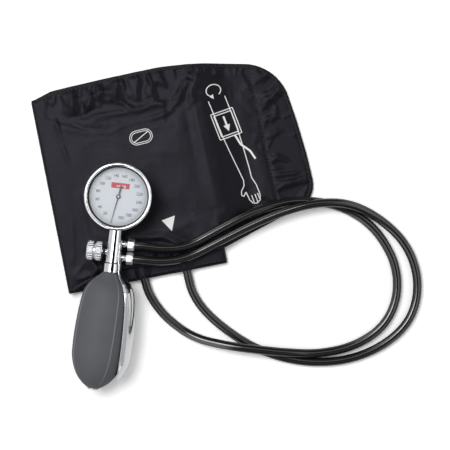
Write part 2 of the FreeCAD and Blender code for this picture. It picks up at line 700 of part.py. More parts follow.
def upper_plate():
    """A small bridge over the gears, on three pillars."""
    bottom, top = UPPER_PLATE, UPPER_PLATE + UPPER_PLATE_THICKNESS
    arbor = sector_arbor_place()
    pillars = pillar_places()
    corners = [arbor, pillars[2], pillars[1], pillars[0]]
    wire = Part.makePolygon(corners + corners[:1]).makeOffset2D(UPPER_PLATE_EDGE)
    plate = slab(wire, bottom, top)
    cuts = [rod(PINION_SHAFT_RADIUS + RUNNING_GAP, V(0, 0, bottom), V(0, 0, top)),
            rod(SECTOR_ARBOR_RADIUS + RUNNING_GAP, arbor + V(0, 0, bottom), arbor + V(0, 0, top))]
    for place in pillars:
        cuts.append(rod(SCREW_SHANK_RADIUS + RUNNING_GAP, place + V(0, 0, bottom),
                        place + V(0, 0, top)))
    for x, y in DIAL_FEET:
        cuts.append(rod(DIAL_PIN_RADIUS, V(x, y, bottom), V(x, y, top)))
    stud = spring_end()
    plate = plate.cut(cuts)
    return fused([plate, rod(SPRING_STUD, stud + V(0, 0, SPRING_PLANE), stud + V(0, 0, bottom))])


def plate_pillars():
    """Three pillars between the plates, drilled for the bridge's screws."""
    bottom = LOWER_PLATE + PLATE_THICKNESS
    pillars = []
    for place in pillar_places():
        pillar = rod(PILLAR_RADIUS, place + V(0, 0, bottom), place + V(0, 0, UPPER_PLATE))
        hole = rod(SCREW_SHANK_RADIUS + RUNNING_GAP, place + V(0, 0, UPPER_PLATE - SCREW_SHANK),
                   place + V(0, 0, UPPER_PLATE))
        pillars.append(pillar.cut(hole))
    return Part.makeCompound(pillars)


def cheese_screw(place, seat):
    """A slotted screw whose head sits on a face at the given height."""
    head = rod(SCREW_HEAD_RADIUS, place + V(0, 0, seat), place + V(0, 0, seat + SCREW_HEAD))
    shank = rod(SCREW_SHANK_RADIUS, place + V(0, 0, seat - SCREW_SHANK), place + V(0, 0, seat))
    slot = block((place.x - 2, place.x + 2), (place.y - 0.2, place.y + 0.2),
                 (seat + SCREW_HEAD / 2, seat + SCREW_HEAD + 1))
    return fused([head, shank]).cut(slot)


def plate_screws():
    top = LOWER_PLATE + PLATE_THICKNESS
    return Part.makeCompound([cheese_screw(polar(POST_CIRCLE, a), top) for a in POST_ANGLES])


def bridge_screws():
    top = UPPER_PLATE + UPPER_PLATE_THICKNESS
    return Part.makeCompound([cheese_screw(place, top) for place in pillar_places()])


# --- hairspring ---------------------------------------------------------------------------
def spring_arc(turn, shift):
    """One half turn of the spiral, moved outwards by a shift, as start, middle and end."""
    step = SPRING_PITCH / 2
    radius = SPRING_INNER + step * turn + SPRING_STRIP + shift
    side = 1 if turn % 2 == 0 else -1
    centre = V(-step / 2 * side, 0, SPRING_PLANE)
    return [centre + V(radius * side, 0, 0), centre + V(0, radius * side, 0),
            centre + V(-radius * side, 0, 0)]


def spring_end():
    """Where the hairspring's outer end is pinned."""
    return V(spring_arc(2 * SPRING_TURNS - 1, SPRING_STRIP)[2].x + SPRING_STUD + SEAT_GAP, 0, 0)


def hairspring():
    """A flat spiral strip made of half turns whose centres step from side to side."""
    halves = 2 * SPRING_TURNS
    edges = []
    for shift in (0.0, SPRING_STRIP):
        for turn in range(halves):
            edges.append(Part.Arc(*spring_arc(turn, shift)).toShape())
    for turn, end in ((0, 0), (halves - 1, 2)):
        inner, outer = spring_arc(turn, 0.0)[end], spring_arc(turn, SPRING_STRIP)[end]
        edges.append(Part.LineSegment(inner, outer).toShape())
    wire = Part.Wire(Part.__sortEdges__(edges))
    return Part.Face(wire).extrude(V(0, 0, SPRING_HEIGHT))


# --- stem, collar and check valve ---------------------------------------------------------
def stem_body():
    """A tapered chromed stem with a spigot into the gauge, a tail into the collar, and side
    bores for the valve and the two hose fittings."""
    tail_end = STEM_END + STEM_TAIL
    body = turned_on_stem(
        (STEM_BORE, SPIGOT_TIP), (SPIGOT_RADIUS, SPIGOT_TIP), (SPIGOT_RADIUS, STEM_START),
        (STEM_TOP_RADIUS, STEM_START), (STEM_FOOT_RADIUS, STEM_END), (STEM_TAIL_RADIUS, STEM_END),
        (STEM_TAIL_RADIUS, tail_end), (STEM_BORE, tail_end))
    cuts = [rod(VALVE_SPIGOT_RADIUS, V(-VALVE_SEAT, -VALVE_S, 0), V(-COLLAR_RADIUS, -VALVE_S, 0)),
            rod(DUCT_BORE, V(0, -VALVE_S, 0), V(-VALVE_SEAT, -VALVE_S, 0))]
    for s in (UPPER_FITTING_S, LOWER_FITTING_S):
        inner = STEM_TOP_RADIUS - FITTING_DEPTH
        cuts.append(rod(FITTING_RADIUS, V(inner, -s, 0), V(COLLAR_RADIUS, -s, 0)))
        cuts.append(rod(FITTING_BORE, V(0, -s, 0), V(inner, -s, 0)))
    return body.cut(cuts)


def check_seat_start():
    return COLLAR_END - CHECK_SEAT_THICKNESS


def stem_collar():
    """The union nut below the stem, with the barb that the bulb is pushed on."""
    start = STEM_END
    end = COLLAR_END + BARB_LENGTH
    ridge = 0.15
    body = turned_on_stem(
        (STEM_TAIL_RADIUS, start), (COLLAR_RADIUS - 0.3, start), (COLLAR_RADIUS, start + 0.3),
        (COLLAR_RADIUS, COLLAR_END - 0.3), (COLLAR_RADIUS - 0.3, COLLAR_END),
        (BARB_RADIUS - ridge, COLLAR_END), (BARB_RADIUS - ridge, COLLAR_END + 0.45 * BARB_LENGTH),
        (BARB_RADIUS, COLLAR_END + 0.48 * BARB_LENGTH),
        (BARB_RADIUS - ridge, COLLAR_END + 0.7 * BARB_LENGTH),
        (BARB_RADIUS, COLLAR_END + 0.73 * BARB_LENGTH), (BARB_RADIUS - 2 * ridge, end),
        (BARB_RADIUS - 1.2, end), (BARB_RADIUS - 1.2, COLLAR_END), (STEM_TAIL_RADIUS, COLLAR_END))
    return body


def check_valve_seat():
    """A turned disc with an orifice, pressed in the collar."""
    start = check_seat_start()
    return turned_on_stem((CHECK_SEAT_BORE, start), (STEM_TAIL_RADIUS, start),
                          (STEM_TAIL_RADIUS, COLLAR_END), (CHECK_SEAT_BORE, COLLAR_END))


def check_disc():
    """The rubber flap that lets air out of the bulb and not back."""
    end = check_seat_start()
    return rod(CHECK_DISC_RADIUS, V(0, -end, 0), V(0, -end + CHECK_DISC_THICKNESS, 0))


# --- release valve ------------------------------------------------------------------------
def valve_axis(x):
    return V(-x, -VALVE_S, 0)


def valve_body():
    """The valve's housing: a spigot in the stem, a hexagon and a sleeve under the knob."""
    parts = [rod(VALVE_SPIGOT_RADIUS, valve_axis(VALVE_SEAT), valve_axis(VALVE_NUT_START)),
             hexagon(VALVE_NUT_ACROSS, -VALVE_NUT_END, -VALVE_NUT_START, VALVE_S),
             rod(VALVE_SLEEVE_RADIUS, valve_axis(VALVE_NUT_END), valve_axis(VALVE_SLEEVE_END))]
    bore = rod(SPINDLE_RADIUS + RUNNING_GAP, valve_axis(VALVE_SEAT - 1), valve_axis(VALVE_SLEEVE_END + 1))
    return fused(parts).cut(bore)


def valve_seal():
    """The rubber pad that closes the bleed orifice."""
    return rod(SPINDLE_RADIUS, valve_axis(VALVE_SEAT + SEAT_GAP),
               valve_axis(VALVE_SEAT + SEAT_GAP + SEAL_LENGTH))


def valve_spindle():
    """The plunger that the knob screws in and out, with a groove for its ring seal."""
    start = VALVE_SEAT + SEAT_GAP + SEAL_LENGTH
    spindle = rod(SPINDLE_RADIUS, valve_axis(start), valve_axis(KNOB_END - 1.0))
    groove = rod(SPINDLE_RADIUS + 1, valve_axis(ORING_PLACE - ORING_RADIUS),
                 valve_axis(ORING_PLACE + ORING_RADIUS))
    core = rod(SPINDLE_RADIUS - 2 * ORING_RADIUS, valve_axis(start), valve_axis(KNOB_END))
    return spindle.cut(groove.cut(core))


def valve_oring():
    middle = SPINDLE_RADIUS + RUNNING_GAP - ORING_RADIUS
    return Part.makeTorus(middle, ORING_RADIUS, valve_axis(ORING_PLACE), V(1, 0, 0))


def valve_knob():
    """A fluted knob in two rounded bands with a groove between them, bored over the sleeve."""
    middle = (KNOB_START + KNOB_END) / 2
    groove = KNOB_GROOVE / 2
    neck = KNOB_RADIUS - KNOB_GROOVE
    outline = [(0, KNOB_START)]
    for start, end in ((KNOB_START, middle - groove), (middle + groove, KNOB_END)):
        outline += [(neck, start), (KNOB_RADIUS - 0.3 * KNOB_BEVEL, start + 0.3 * KNOB_BEVEL),
                    (KNOB_RADIUS, start + KNOB_BEVEL), (KNOB_RADIUS, end - KNOB_BEVEL),
                    (KNOB_RADIUS - 0.3 * KNOB_BEVEL, end - 0.3 * KNOB_BEVEL), (neck, end)]
    outline.append((0, KNOB_END))
    corners = [V(-x, r - VALVE_S, 0) for r, x in outline]
    face = Part.Face(Part.makePolygon(corners + corners[:1]))
    knob = face.revolve(V(0, -VALVE_S, 0), V(1, 0, 0), 360)
    bore_end = VALVE_SLEEVE_END + 1.5
    cuts = [rod(VALVE_SLEEVE_RADIUS + 2 * RUNNING_GAP, valve_axis(KNOB_START - 1), valve_axis(bore_end)),
            rod(SPINDLE_RADIUS, valve_axis(bore_end), valve_axis(KNOB_END - 1.0))]
    for i in range(KNOB_FLUTES):
        angle = 2 * math.pi * (i + 0.5) / KNOB_FLUTES
        reach = KNOB_RADIUS + FLUTE_RADIUS - FLUTE_DEPTH
        offset = V(0, reach * math.cos(angle), reach * math.sin(angle))
        cuts.append(rod(FLUTE_RADIUS, valve_axis(KNOB_START - 1) + offset,
                        valve_axis(KNOB_END + 1) + offset))
    return knob.cut(cuts)


# --- hose fittings ------------------------------------------------------------------------
def hose_fitting(s):
    """A tube that is pressed in the stem through the spoon's arm: its shoulder holds the arm,
    its neck widens to the ferrule, and it ends flush with it."""
    inner = STEM_TOP_RADIUS - FITTING_DEPTH
    outline = [(0, inner), (FITTING_RADIUS, inner), (FITTING_RADIUS, SHOULDER_START),
               (SHOULDER_RADIUS, SHOULDER_START), (SHOULDER_RADIUS, SHOULDER_END),
               (FITTING_RADIUS, SHOULDER_END), (SHOULDER_RADIUS, FERRULE_START),
               (FITTING_RADIUS, FERRULE_START), (FITTING_RADIUS, FERRULE_END), (0, FERRULE_END)]
    corners = [V(x, r - s, 0) for r, x in outline]
    tube = Part.Face(Part.makePolygon(corners + corners[:1])).revolve(V(0, -s, 0), V(1, 0, 0), 360)
    return tube.cut(rod(FITTING_BORE, V(inner - 1, -s, 0), V(FERRULE_END + 1, -s, 0)))


def ferrule(s):
    """A hexagonal nut with a round lip at its end that holds the hose on its fitting."""
    hex_end = FERRULE_START + FERRULE_HEX
    body = fused([hexagon(FERRULE_ACROSS, FERRULE_START, hex_end, s),
                  rod(FERRULE_LIP_RADIUS, V(hex_end, -s, 0), V(FERRULE_END, -s, 0))])
    return body.cut(rod(FITTING_RADIUS, V(FERRULE_START, -s, 0), V(FERRULE_END, -s, 0)))


# --- bulb and its intake valve ------------------------------------------------------------
def leaned(shape):
    """The shape turned about the bulb's neck: the bulb leans a little on its barb."""
    return shape.rotated(V(0, -BULB_START, 0), UP, -BULB_LEAN)


def revolved(edges, start, end):
    """The solid of a row of edges in the stem's plane, closed along the stem's axis."""
    first, last = V(0, -start, 0), V(0, -end, 0)
    ends = [Part.LineSegment(first, edges[0].valueAt(edges[0].FirstParameter)).toShape(),
            Part.LineSegment(edges[-1].valueAt(edges[-1].LastParameter), last).toShape(),
            Part.LineSegment(last, first).toShape()]
    return turned(Part.Wire([ends[0]] + edges + ends[1:]), V(0, 1, 0))


def bulb_cavity():
    """The hollow of the bulb: arcs that follow its outside at the wall's thickness."""
    start, end = COLLAR_END + BARB_LENGTH + 0.8, plug_end() - 2.2 * BULB_WALL
    first = V(BARB_RADIUS, -start, 0)
    rows = (CAVITY_TURN, BULB_SHAPE[1][1], BULB_SHAPE[2][0], BULB_SHAPE[2][1], BULB_SHAPE[3][0],
            BULB_SHAPE[3][1])
    a, b, c, d, e, f = (V(BULB_RADIUS * width - BULB_WALL, -BULB_START - BULB_LENGTH * share, 0)
                        for share, width in rows)
    arcs = [Part.Arc(first, a, b).toShape(), Part.Arc(b, c, d).toShape(), Part.Arc(d, e, f).toShape(),
            Part.LineSegment(f, V(PLUG_RADIUS, -end, 0)).toShape()]
    return revolved(arcs, start, end)


def bulb():
    """A hollow rubber bulb with a plain neck on the barb and a hole for the intake valve."""
    neck = block((-BULB_RADIUS, BULB_RADIUS), (-BULB_START, 0), (-BULB_RADIUS, BULB_RADIUS))
    bore = rod(BARB_RADIUS + 2 * SEAT_GAP, V(0, 0, 0), V(0, -COLLAR_END - BARB_LENGTH - 1.0, 0))
    hole = rod(PLUG_RADIUS, V(0, -plug_end() + 3 * BULB_WALL, 0), V(0, -plug_end() - 1, 0))
    outside = revolved(bulb_outline(), BULB_START, plug_end())
    return leaned(outside.cut([bulb_cavity(), hole])).cut([neck, bore])


def plug_end():
    return BULB_START + BULB_LENGTH


def ball_seat():
    """Where the ball's centre lies when it closes the intake orifice."""
    reach = math.sqrt(BALL_RADIUS ** 2 - PLUG_ORIFICE ** 2)
    return plug_end() - 2.0 - reach - SEAT_GAP


def intake_valve_body():
    """The metal plug in the bulb's end: orifice, ball chamber and a lip that keeps the ball."""
    end = plug_end()
    start = end - PLUG_LENGTH
    lip = PLUG_ORIFICE + 0.15
    return turned_on_stem(
        (lip, start), (PLUG_RADIUS, start), (PLUG_RADIUS, end), (BULB_END_RADIUS, end),
        (BULB_END_RADIUS, end + PLUG_FLANGE - 0.3), (BULB_END_RADIUS - 0.3, end + PLUG_FLANGE),
        (PLUG_ORIFICE, end + PLUG_FLANGE), (PLUG_ORIFICE, end - 2.0), (BALL_CHAMBER, end - 2.0),
        (BALL_CHAMBER, start + CAGE_LIP), (lip, start + CAGE_LIP))


def intake_ball():
    return Part.makeSphere(BALL_RADIUS, V(0, -ball_seat(), 0))


# --- spoon --------------------------------------------------------------------------------
def spoon_section(s, crown, rim, half):
    """A strip bent to an arc across the spoon, with round edges, as a closed wire."""
    y = -s
    inner_rim, inner_half = rim - 0.55 * SPOON_SHEET, half - 0.75 * SPOON_SHEET
    edge_rim, edge_half = rim - 0.62 * SPOON_SHEET, half - 0.12 * SPOON_SHEET
    return line_and_arcs(
        V(rim, y, -half), (V(crown, y, 0), V(rim, y, half)),
        (V(edge_rim, y, edge_half), V(inner_rim, y, inner_half)),
        (V(crown - SPOON_SHEET, y, 0), V(inner_rim, y, -inner_half)),
        (V(edge_rim, y, -edge_half), V(rim, y, -half)))


def spoon_rows():
    """The arm's sections and, from the collar on, sections in between for a smooth bowl."""
    rows = list(SPOON_SECTIONS[:ARM_SECTIONS])
    table = SPOON_SECTIONS + SPOON_SECTIONS[-1:]
    for k in range(ARM_SECTIONS - 1, len(SPOON_SECTIONS) - 1):
        a, b, c, d = table[k - 1], table[k], table[k + 1], table[k + 2]
        steps = max(round((c[0] - b[0]) / SPOON_STEP), 1)
        for i in range(1, steps + 1):
            t = i / steps
            row = [b[0] + (c[0] - b[0]) * t]
            for p, q, r, n in zip(a[1:], b[1:], c[1:], d[1:]):
                start = (r - p) / (c[0] - a[0]) * (c[0] - b[0])
                end = (n - q) / (d[0] - b[0]) * (c[0] - b[0])
                row.append((2 * t ** 3 - 3 * t ** 2 + 1) * q + (t ** 3 - 2 * t ** 2 + t) * start
                           + (3 * t ** 2 - 2 * t ** 3) * r + (t ** 3 - t ** 2) * end)
            rows.append(row)
    return rows


def spoon():
    """A dished sheet-metal spoon beside the bulb, on an arm that the hose fittings hold."""
    bowl = Part.makeLoft([spoon_section(*row) for row in spoon_rows()], True, True)
    holes = [rod(FITTING_RADIUS + SEAT_GAP, V(0, -s, 0), V(2 * COLLAR_RADIUS, -s, 0))
             for s in (UPPER_FITTING_S, LOWER_FITTING_S)]
    return bowl.cut(holes)


# --- cuff ---------------------------------------------------------------------------------
def straight(x0, z0, x1, z1):
    return ("line", (x0, z0), (x1, z1))


def bend(x, z, radius, start, end):
    return ("arc", (x, z), radius, (start, end))


def fold_radius():
    return (CUFF_THICKNESS + LAYER_GAP) / 2


def fold_inset():
    return fold_radius() + CUFF_THICKNESS / 2


def left_fold():
    return bend(fold_inset(), (layer_height(1) + layer_height(2)) / 2, fold_radius(), 270, 90)


def lower_path():
    """Middle line of the two lower layers and both folds."""
    right = FOLDED_LENGTH - fold_inset()
    left = fold_inset()
    return [straight(INNER_END, layer_height(0), right, layer_height(0)),
            bend(right, (layer_height(0) + layer_height(1)) / 2, fold_radius(), -90, 90),
            straight(right, layer_height(1), left, layer_height(1)), left_fold()]


def drape_end():
    """How far the draped stretch reaches and its turn: the top layer comes down to the floor."""
    drop = layer_height(2) - CUFF_THICKNESS / 2 - DRAPE_LIFT
    turn = math.acos(1 - drop / (2 * DRAPE_RADIUS))
    return DRAPE_START + 2 * DRAPE_RADIUS * math.sin(turn), math.degrees(turn)


def upper_path():
    """Middle line of the top layer, from the left fold over the drape to the free end."""
    end, turn = drape_end()
    low = CUFF_THICKNESS / 2 + DRAPE_LIFT
    return [straight(fold_inset(), layer_height(2), DRAPE_START, layer_height(2)),
            bend(DRAPE_START, layer_height(2) - DRAPE_RADIUS, DRAPE_RADIUS, 90, 90 - turn),
            bend(end, low + DRAPE_RADIUS, DRAPE_RADIUS, -90 - turn, -90),
            straight(end, low, CUFF_REACH + 2, low)]


def bladder_path(reach):
    """Middle line of the bladder, in the middle layer and, round the left fold, the top one."""
    return [straight(reach, layer_height(1), fold_inset(), layer_height(1)), left_fold(),
            straight(fold_inset(), layer_height(2), reach, layer_height(2))]


def beside(path, shift):
    """The curves that run beside a path, to its left by the shift."""
    curves = []
    for kind, first, *rest in path:
        if kind == "line":
            a, b = V(first[0], 0, first[1]), V(rest[0][0], 0, rest[0][1])
            along = (b - a).normalize()
            side = V(-along.z, 0, along.x) * shift
            curves.append([a + side, b + side])
        else:
            radius, (start, end) = rest
            radius += -shift if end > start else shift
            points = []
            for degrees in (start, (start + end) / 2, end):
                angle = math.radians(degrees)
                points.append(V(first[0] + radius * math.cos(angle), 0,
                                first[1] + radius * math.sin(angle)))
            curves.append(points)
    return curves


def band(path, above, below, near, far):
    """A sheet that follows a path: a shift to each side of it, between two places across."""
    left, right = beside(path, above), beside(path, -below)
    edges = []
    for points in left + right:
        curve = Part.LineSegment(*points) if len(points) == 2 else Part.Arc(*points)
        edges.append(curve.toShape())
    for a, b in ((left[0][0], right[0][0]), (left[-1][-1], right[-1][-1])):
        edges.append(Part.LineSegment(a, b).toShape())
    sheet = Part.Face(Part.Wire(Part.__sortEdges__(edges))).extrude(V(0, far - near, 0))
    sheet.translate(V(0, near, 0))
    return sheet


def top_outline(inset):
    """Plan of the top layer: straight fold on the left, slack edges and two round corners."""
    left, reach, width = fold_inset(), CUFF_REACH, CUFF_WIDTH

    def near(x, y):
        return V(x, y + inset, 0)

    def corner(x, y, side):
        slant = CORNER_INSET * inset
        return V(reach + x - slant, y - side * slant, 0)

    def right(x, y):
        return V(reach + x - inset, y, 0)

    def far(x, y):
        return V(x, width + y - inset, 0)

    (n1, n2, n3), (c1, c2, c3), (r1, r2) = NEAR_EDGE, NEAR_CORNER, RIGHT_EDGE
    (d1, d2), (f1, f2, f3, f4) = FAR_CORNER, FAR_EDGE
    wire = line_and_arcs(
        near(left, 0), (near(*n1), near(*n2)), (near(*n3),), (near(reach + c1[0], c1[1]),),
        (corner(*c2, -1), right(*c3)), (right(*r1), right(r2[0], width + r2[1])),
        (corner(d1[0], width + d1[1], 1), far(reach + d2[0], d2[1])),
        (far(reach + f1[0], f1[1]), far(*f2)), (far(*f3), far(*f4)), (far(left, 0),))
    return slab(wire, -1, stack_top() + 5)


def hose_tunnels():
    """The passages that the two hoses and the bladder's ports lie in."""
    cuts = []
    for x in PORT_PLACES.values():
        cuts.append(rod(HOSE_DIAMETER / 2 + TUNNEL_GAP, V(x, -2, PORT_HEIGHT),
                        V(x, PORT_START + TUNNEL_GAP, PORT_HEIGHT)))
        cuts.append(rod(PORT_RADIUS + TUNNEL_GAP, V(x, PORT_START, PORT_HEIGHT),
                        V(x, BLADDER_EDGE + TUNNEL_GAP, PORT_HEIGHT)))
    return cuts


def cuff_cover():
    """The nylon cover, folded in three: two lower layers and a top layer that drapes down."""
    half = CUFF_THICKNESS / 2
    lower = band(lower_path(), half, half, BINDING_WIDTH, CUFF_WIDTH - BINDING_WIDTH)
    upper = band(upper_path(), half, half, -5, CUFF_WIDTH + 20).common(top_outline(BINDING_WIDTH))
    pocket = BLADDER_THICKNESS / 2 + POCKET_GAP
    cuts = hose_tunnels()
    cuts.append(band(bladder_path(BLADDER_REACH + 2), pocket, pocket, BLADDER_EDGE - POCKET_GAP,
                     CUFF_WIDTH - BLADDER_EDGE + POCKET_GAP))
    cuts += [hook_patch(), loop_patch()]
    return fused([lower, upper]).cut(cuts)


def bulb_dent():
    """The hollow that the bulb's shoulder presses in the near edge, in the cuff's frame."""
    points = [point for arc in bulb_outline()[:3] for point in arc.discretize(12)]
    corners = [V(p.x + DENT_GAP, p.y, 0) for p in points]
    wire = Part.makePolygon([V(0, corners[0].y, 0)] + corners + [V(0, corners[-1].y, 0),
                                                                V(0, corners[0].y, 0)])
    hollow = leaned(turned(wire, V(0, 1, 0)))
    hollow.Placement = CUFF.inverse().multiply(HANDSET).multiply(hollow.Placement)
    return hollow


def cuff_binding():
    """The tape sewn round the cuff's edges, a little proud of the top layer."""
    half = CUFF_THICKNESS / 2
    near = band(lower_path(), half, half, 0, BINDING_WIDTH)
    far = band(lower_path(), half, half, CUFF_WIDTH - BINDING_WIDTH, CUFF_WIDTH)
    frame = top_outline(0).cut(top_outline(BINDING_WIDTH))
    upper = band(upper_path(), half + BINDING_PROUD, half, -5, CUFF_WIDTH + 20).common(frame)
    return fused([near, far, upper]).cut(hose_tunnels() + [bulb_dent()])


def bladder():
    half = BLADDER_THICKNESS / 2
    return band(bladder_path(BLADDER_REACH), half, half, BLADDER_EDGE, CUFF_WIDTH - BLADDER_EDGE)


def bladder_port(x):
    """A moulded neck that joins the bladder's edge to the end of a hose."""
    port = rod(PORT_RADIUS, V(x, PORT_START, PORT_HEIGHT), V(x, BLADDER_EDGE, PORT_HEIGHT))
    return port.cut(rod(DUCT_BORE, V(x, PORT_START - 1, PORT_HEIGHT), V(x, BLADDER_EDGE, PORT_HEIGHT)))


def hook_patch():
    """The hook strip under the free end of the top layer."""
    x0, x1, y0, y1 = HOOK_STRIP
    return block((x0, x1), (y0, y1), (DRAPE_LIFT, DRAPE_LIFT + PATCH_THICKNESS))


def loop_patch():
    """The loop field on the bottom layer's upper face, hidden by the fold."""
    x0, x1, y0, y1 = LOOP_FIELD
    top = layer_height(0) + CUFF_THICKNESS / 2
    return block((x0, x1), (y0, y1), (top - PATCH_THICKNESS, top))


# --- hoses --------------------------------------------------------------------------------
def hose_route(s, points, port):
    """A hose from its ferrule along hand-chosen points to its port in the cuff."""
    start = HANDSET.multVec(V(FERRULE_END + HOSE_SEAM, -s, 0))
    lead = HANDSET.multVec(V(FERRULE_END + HOSE_LEAD, -s, 0))
    mouth = CUFF.multVec(V(port, -HOSE_MOUTH, PORT_HEIGHT))
    end = CUFF.multVec(V(port, PORT_START - HOSE_SEAM, PORT_HEIGHT))
    return [start, lead] + [V(*point) for point in points] + [mouth, end]


def tube_along(route, diameter, name):
    """A round tube on straight runs joined by tangent arcs as large as the runs allow."""
    edges, radii = [], []
    here = route[0]
    for before, corner, after in zip(route, route[1:], route[2:]):
        back, ahead = before - corner, after - corner
        shorter = min(back.Length, ahead.Length)
        back, ahead = back.normalize(), ahead.normalize()
        turn = math.pi - back.getAngle(ahead)
        setback = 0.45 * shorter
        radii.append(setback / math.tan(turn / 2))
        arc_start, arc_end = corner + back * setback, corner + ahead * setback
        bisector = (back + ahead).normalize()
        middle = corner + bisector * (radii[-1] / math.cos(turn / 2) - radii[-1])
        edges.append(Part.LineSegment(here, arc_start).toShape())
        edges.append(Part.Arc(arc_start, middle, arc_end).toShape())
        here = arc_end
    edges.append(Part.LineSegment(here, route[-1]).toShape())
    spine = Part.Wire(edges)
    ring = Part.makeCircle(diameter / 2, route[0], route[1] - route[0])
    tube = spine.makePipeShell([Part.Wire(ring)], True, False)
    expected = spine.Length * math.pi * diameter ** 2 / 4
    print(name, "length", round(spine.Length, 1), "volume ratio", round(tube.Volume / expected, 4))
    print(name, "radii", [round(radius) for radius in radii])
    return tube


def hose(s, points, side, name):
    return tube_along(hose_route(s, points, PORT_PLACES[side]), HOSE_DIAMETER, name)


# --- assembly -----------------------------------------------------------------------------
def handset_nodes():
    return {
        "gauge_case": gauge_case(), "bezel": bezel(), "lens": lens(), "lens_gasket": lens_gasket(),
        "dial": dial(), "pointer": pointer(), "pinion_arbor": pinion_arbor(),
        "hairspring": hairspring(), "lower_plate": lower_plate(), "upper_plate": upper_plate(),
        "plate_pillars": plate_pillars(), "plate_screws": plate_screws(),
        "bridge_screws": bridge_screws(), "sector_gear": sector_gear(),
        "rocker_shaft": rocker_shaft(), "diaphragm_capsule": diaphragm_capsule(),
        "capsule_button": capsule_button(), "inlet_block": inlet_block(),
        "stem_body": stem_body(), "stem_collar": stem_collar(),
        "check_valve_seat": check_valve_seat(), "check_disc": check_disc(),
        "valve_body": valve_body(), "valve_seal": valve_seal(), "valve_spindle": valve_spindle(),
        "valve_oring": valve_oring(), "valve_knob": valve_knob(),
        "hose_fitting_upper": hose_fitting(UPPER_FITTING_S),
        "hose_fitting_lower": hose_fitting(LOWER_FITTING_S),
        "ferrule_upper": ferrule(UPPER_FITTING_S), "ferrule_lower": ferrule(LOWER_FITTING_S),
        "bulb": bulb(), "intake_valve_body": leaned(intake_valve_body()),
        "intake_ball": leaned(intake_ball()),
        "spoon": spoon()}


def cuff_nodes():
    return {
        "cuff_cover": cuff_cover(), "cuff_binding": cuff_binding(), "bladder": bladder(),
        "bladder_port_left": bladder_port(PORT_PLACES["left"]),
        "bladder_port_right": bladder_port(PORT_PLACES["right"]),
        "hook_patch": hook_patch(), "loop_patch": loop_patch()}


def build():
    """Every node by its name, in place."""
    nodes = {}
    for placement, group in ((HANDSET, handset_nodes()), (CUFF, cuff_nodes())):
        for name, shape in group.items():
            nodes[name] = shape.copy()
            nodes[name].Placement = placement.multiply(nodes[name].Placement)
    nodes["hose_upper"] = hose(UPPER_FITTING_S, HOSE_UPPER, "left", "hose_upper")
    nodes["hose_lower"] = hose(LOWER_FITTING_S, HOSE_LOWER, "right", "hose_lower")
    return nodes


def main():
    os.makedirs("parts", exist_ok=True)
    nodes = build()
    for name, shape in nodes.items():
        shape.exportStep(os.path.join("parts", name + ".step"))
    return nodes


if __name__ == "__main__":
    main()
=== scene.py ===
import json
from math import acos, atan2, copysign, cos, dist, exp, hypot, pi, radians, sin, sqrt, tau
import random

import bmesh
import bpy
from mathutils import Matrix, Vector, noise
from mathutils.bvhtree import BVHTree


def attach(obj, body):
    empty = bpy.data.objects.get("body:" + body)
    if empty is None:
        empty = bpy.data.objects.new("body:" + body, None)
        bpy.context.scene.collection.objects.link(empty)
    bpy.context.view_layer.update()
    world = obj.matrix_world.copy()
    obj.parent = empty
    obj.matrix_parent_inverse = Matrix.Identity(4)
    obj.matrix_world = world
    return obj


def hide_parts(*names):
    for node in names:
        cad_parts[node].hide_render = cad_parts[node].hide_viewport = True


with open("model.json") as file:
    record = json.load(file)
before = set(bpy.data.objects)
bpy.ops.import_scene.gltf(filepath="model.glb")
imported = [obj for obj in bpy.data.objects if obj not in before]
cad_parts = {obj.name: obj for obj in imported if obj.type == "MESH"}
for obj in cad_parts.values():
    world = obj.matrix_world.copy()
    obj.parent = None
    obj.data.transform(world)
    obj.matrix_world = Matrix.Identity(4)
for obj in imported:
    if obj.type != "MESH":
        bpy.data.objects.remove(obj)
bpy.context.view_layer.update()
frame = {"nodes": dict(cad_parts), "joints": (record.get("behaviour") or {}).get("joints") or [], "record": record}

# Aneroid blood-pressure set. Lengths are written in millimetres and turned into metres by MM.
MM = 0.001
UP = Vector((0, 0, 1))
scene = bpy.context.scene

# --- places shared with the construction ---
DIAL_TOP = 9.0
LENS_TOP = 12.5
POINTER_PLANE = 9.45
DIAL_ZERO = 190.1
DIAL_SWEEP = 337.2
FULL_SCALE = 300
CUFF_PLACE = (-76.2, -51.9)
CUFF_YAW = 11.2
FERRULE_END = 14.8
HOSE_SEAM = 0.05
HOSE_LEAD = 9.0
HOSE_MOUTH = 6.0
HOSE_DIAMETER = 6.5
PORT_HEIGHT = 3.95
PORT_DEPTH = 5.95
PORTS = (57.2, 89.4)
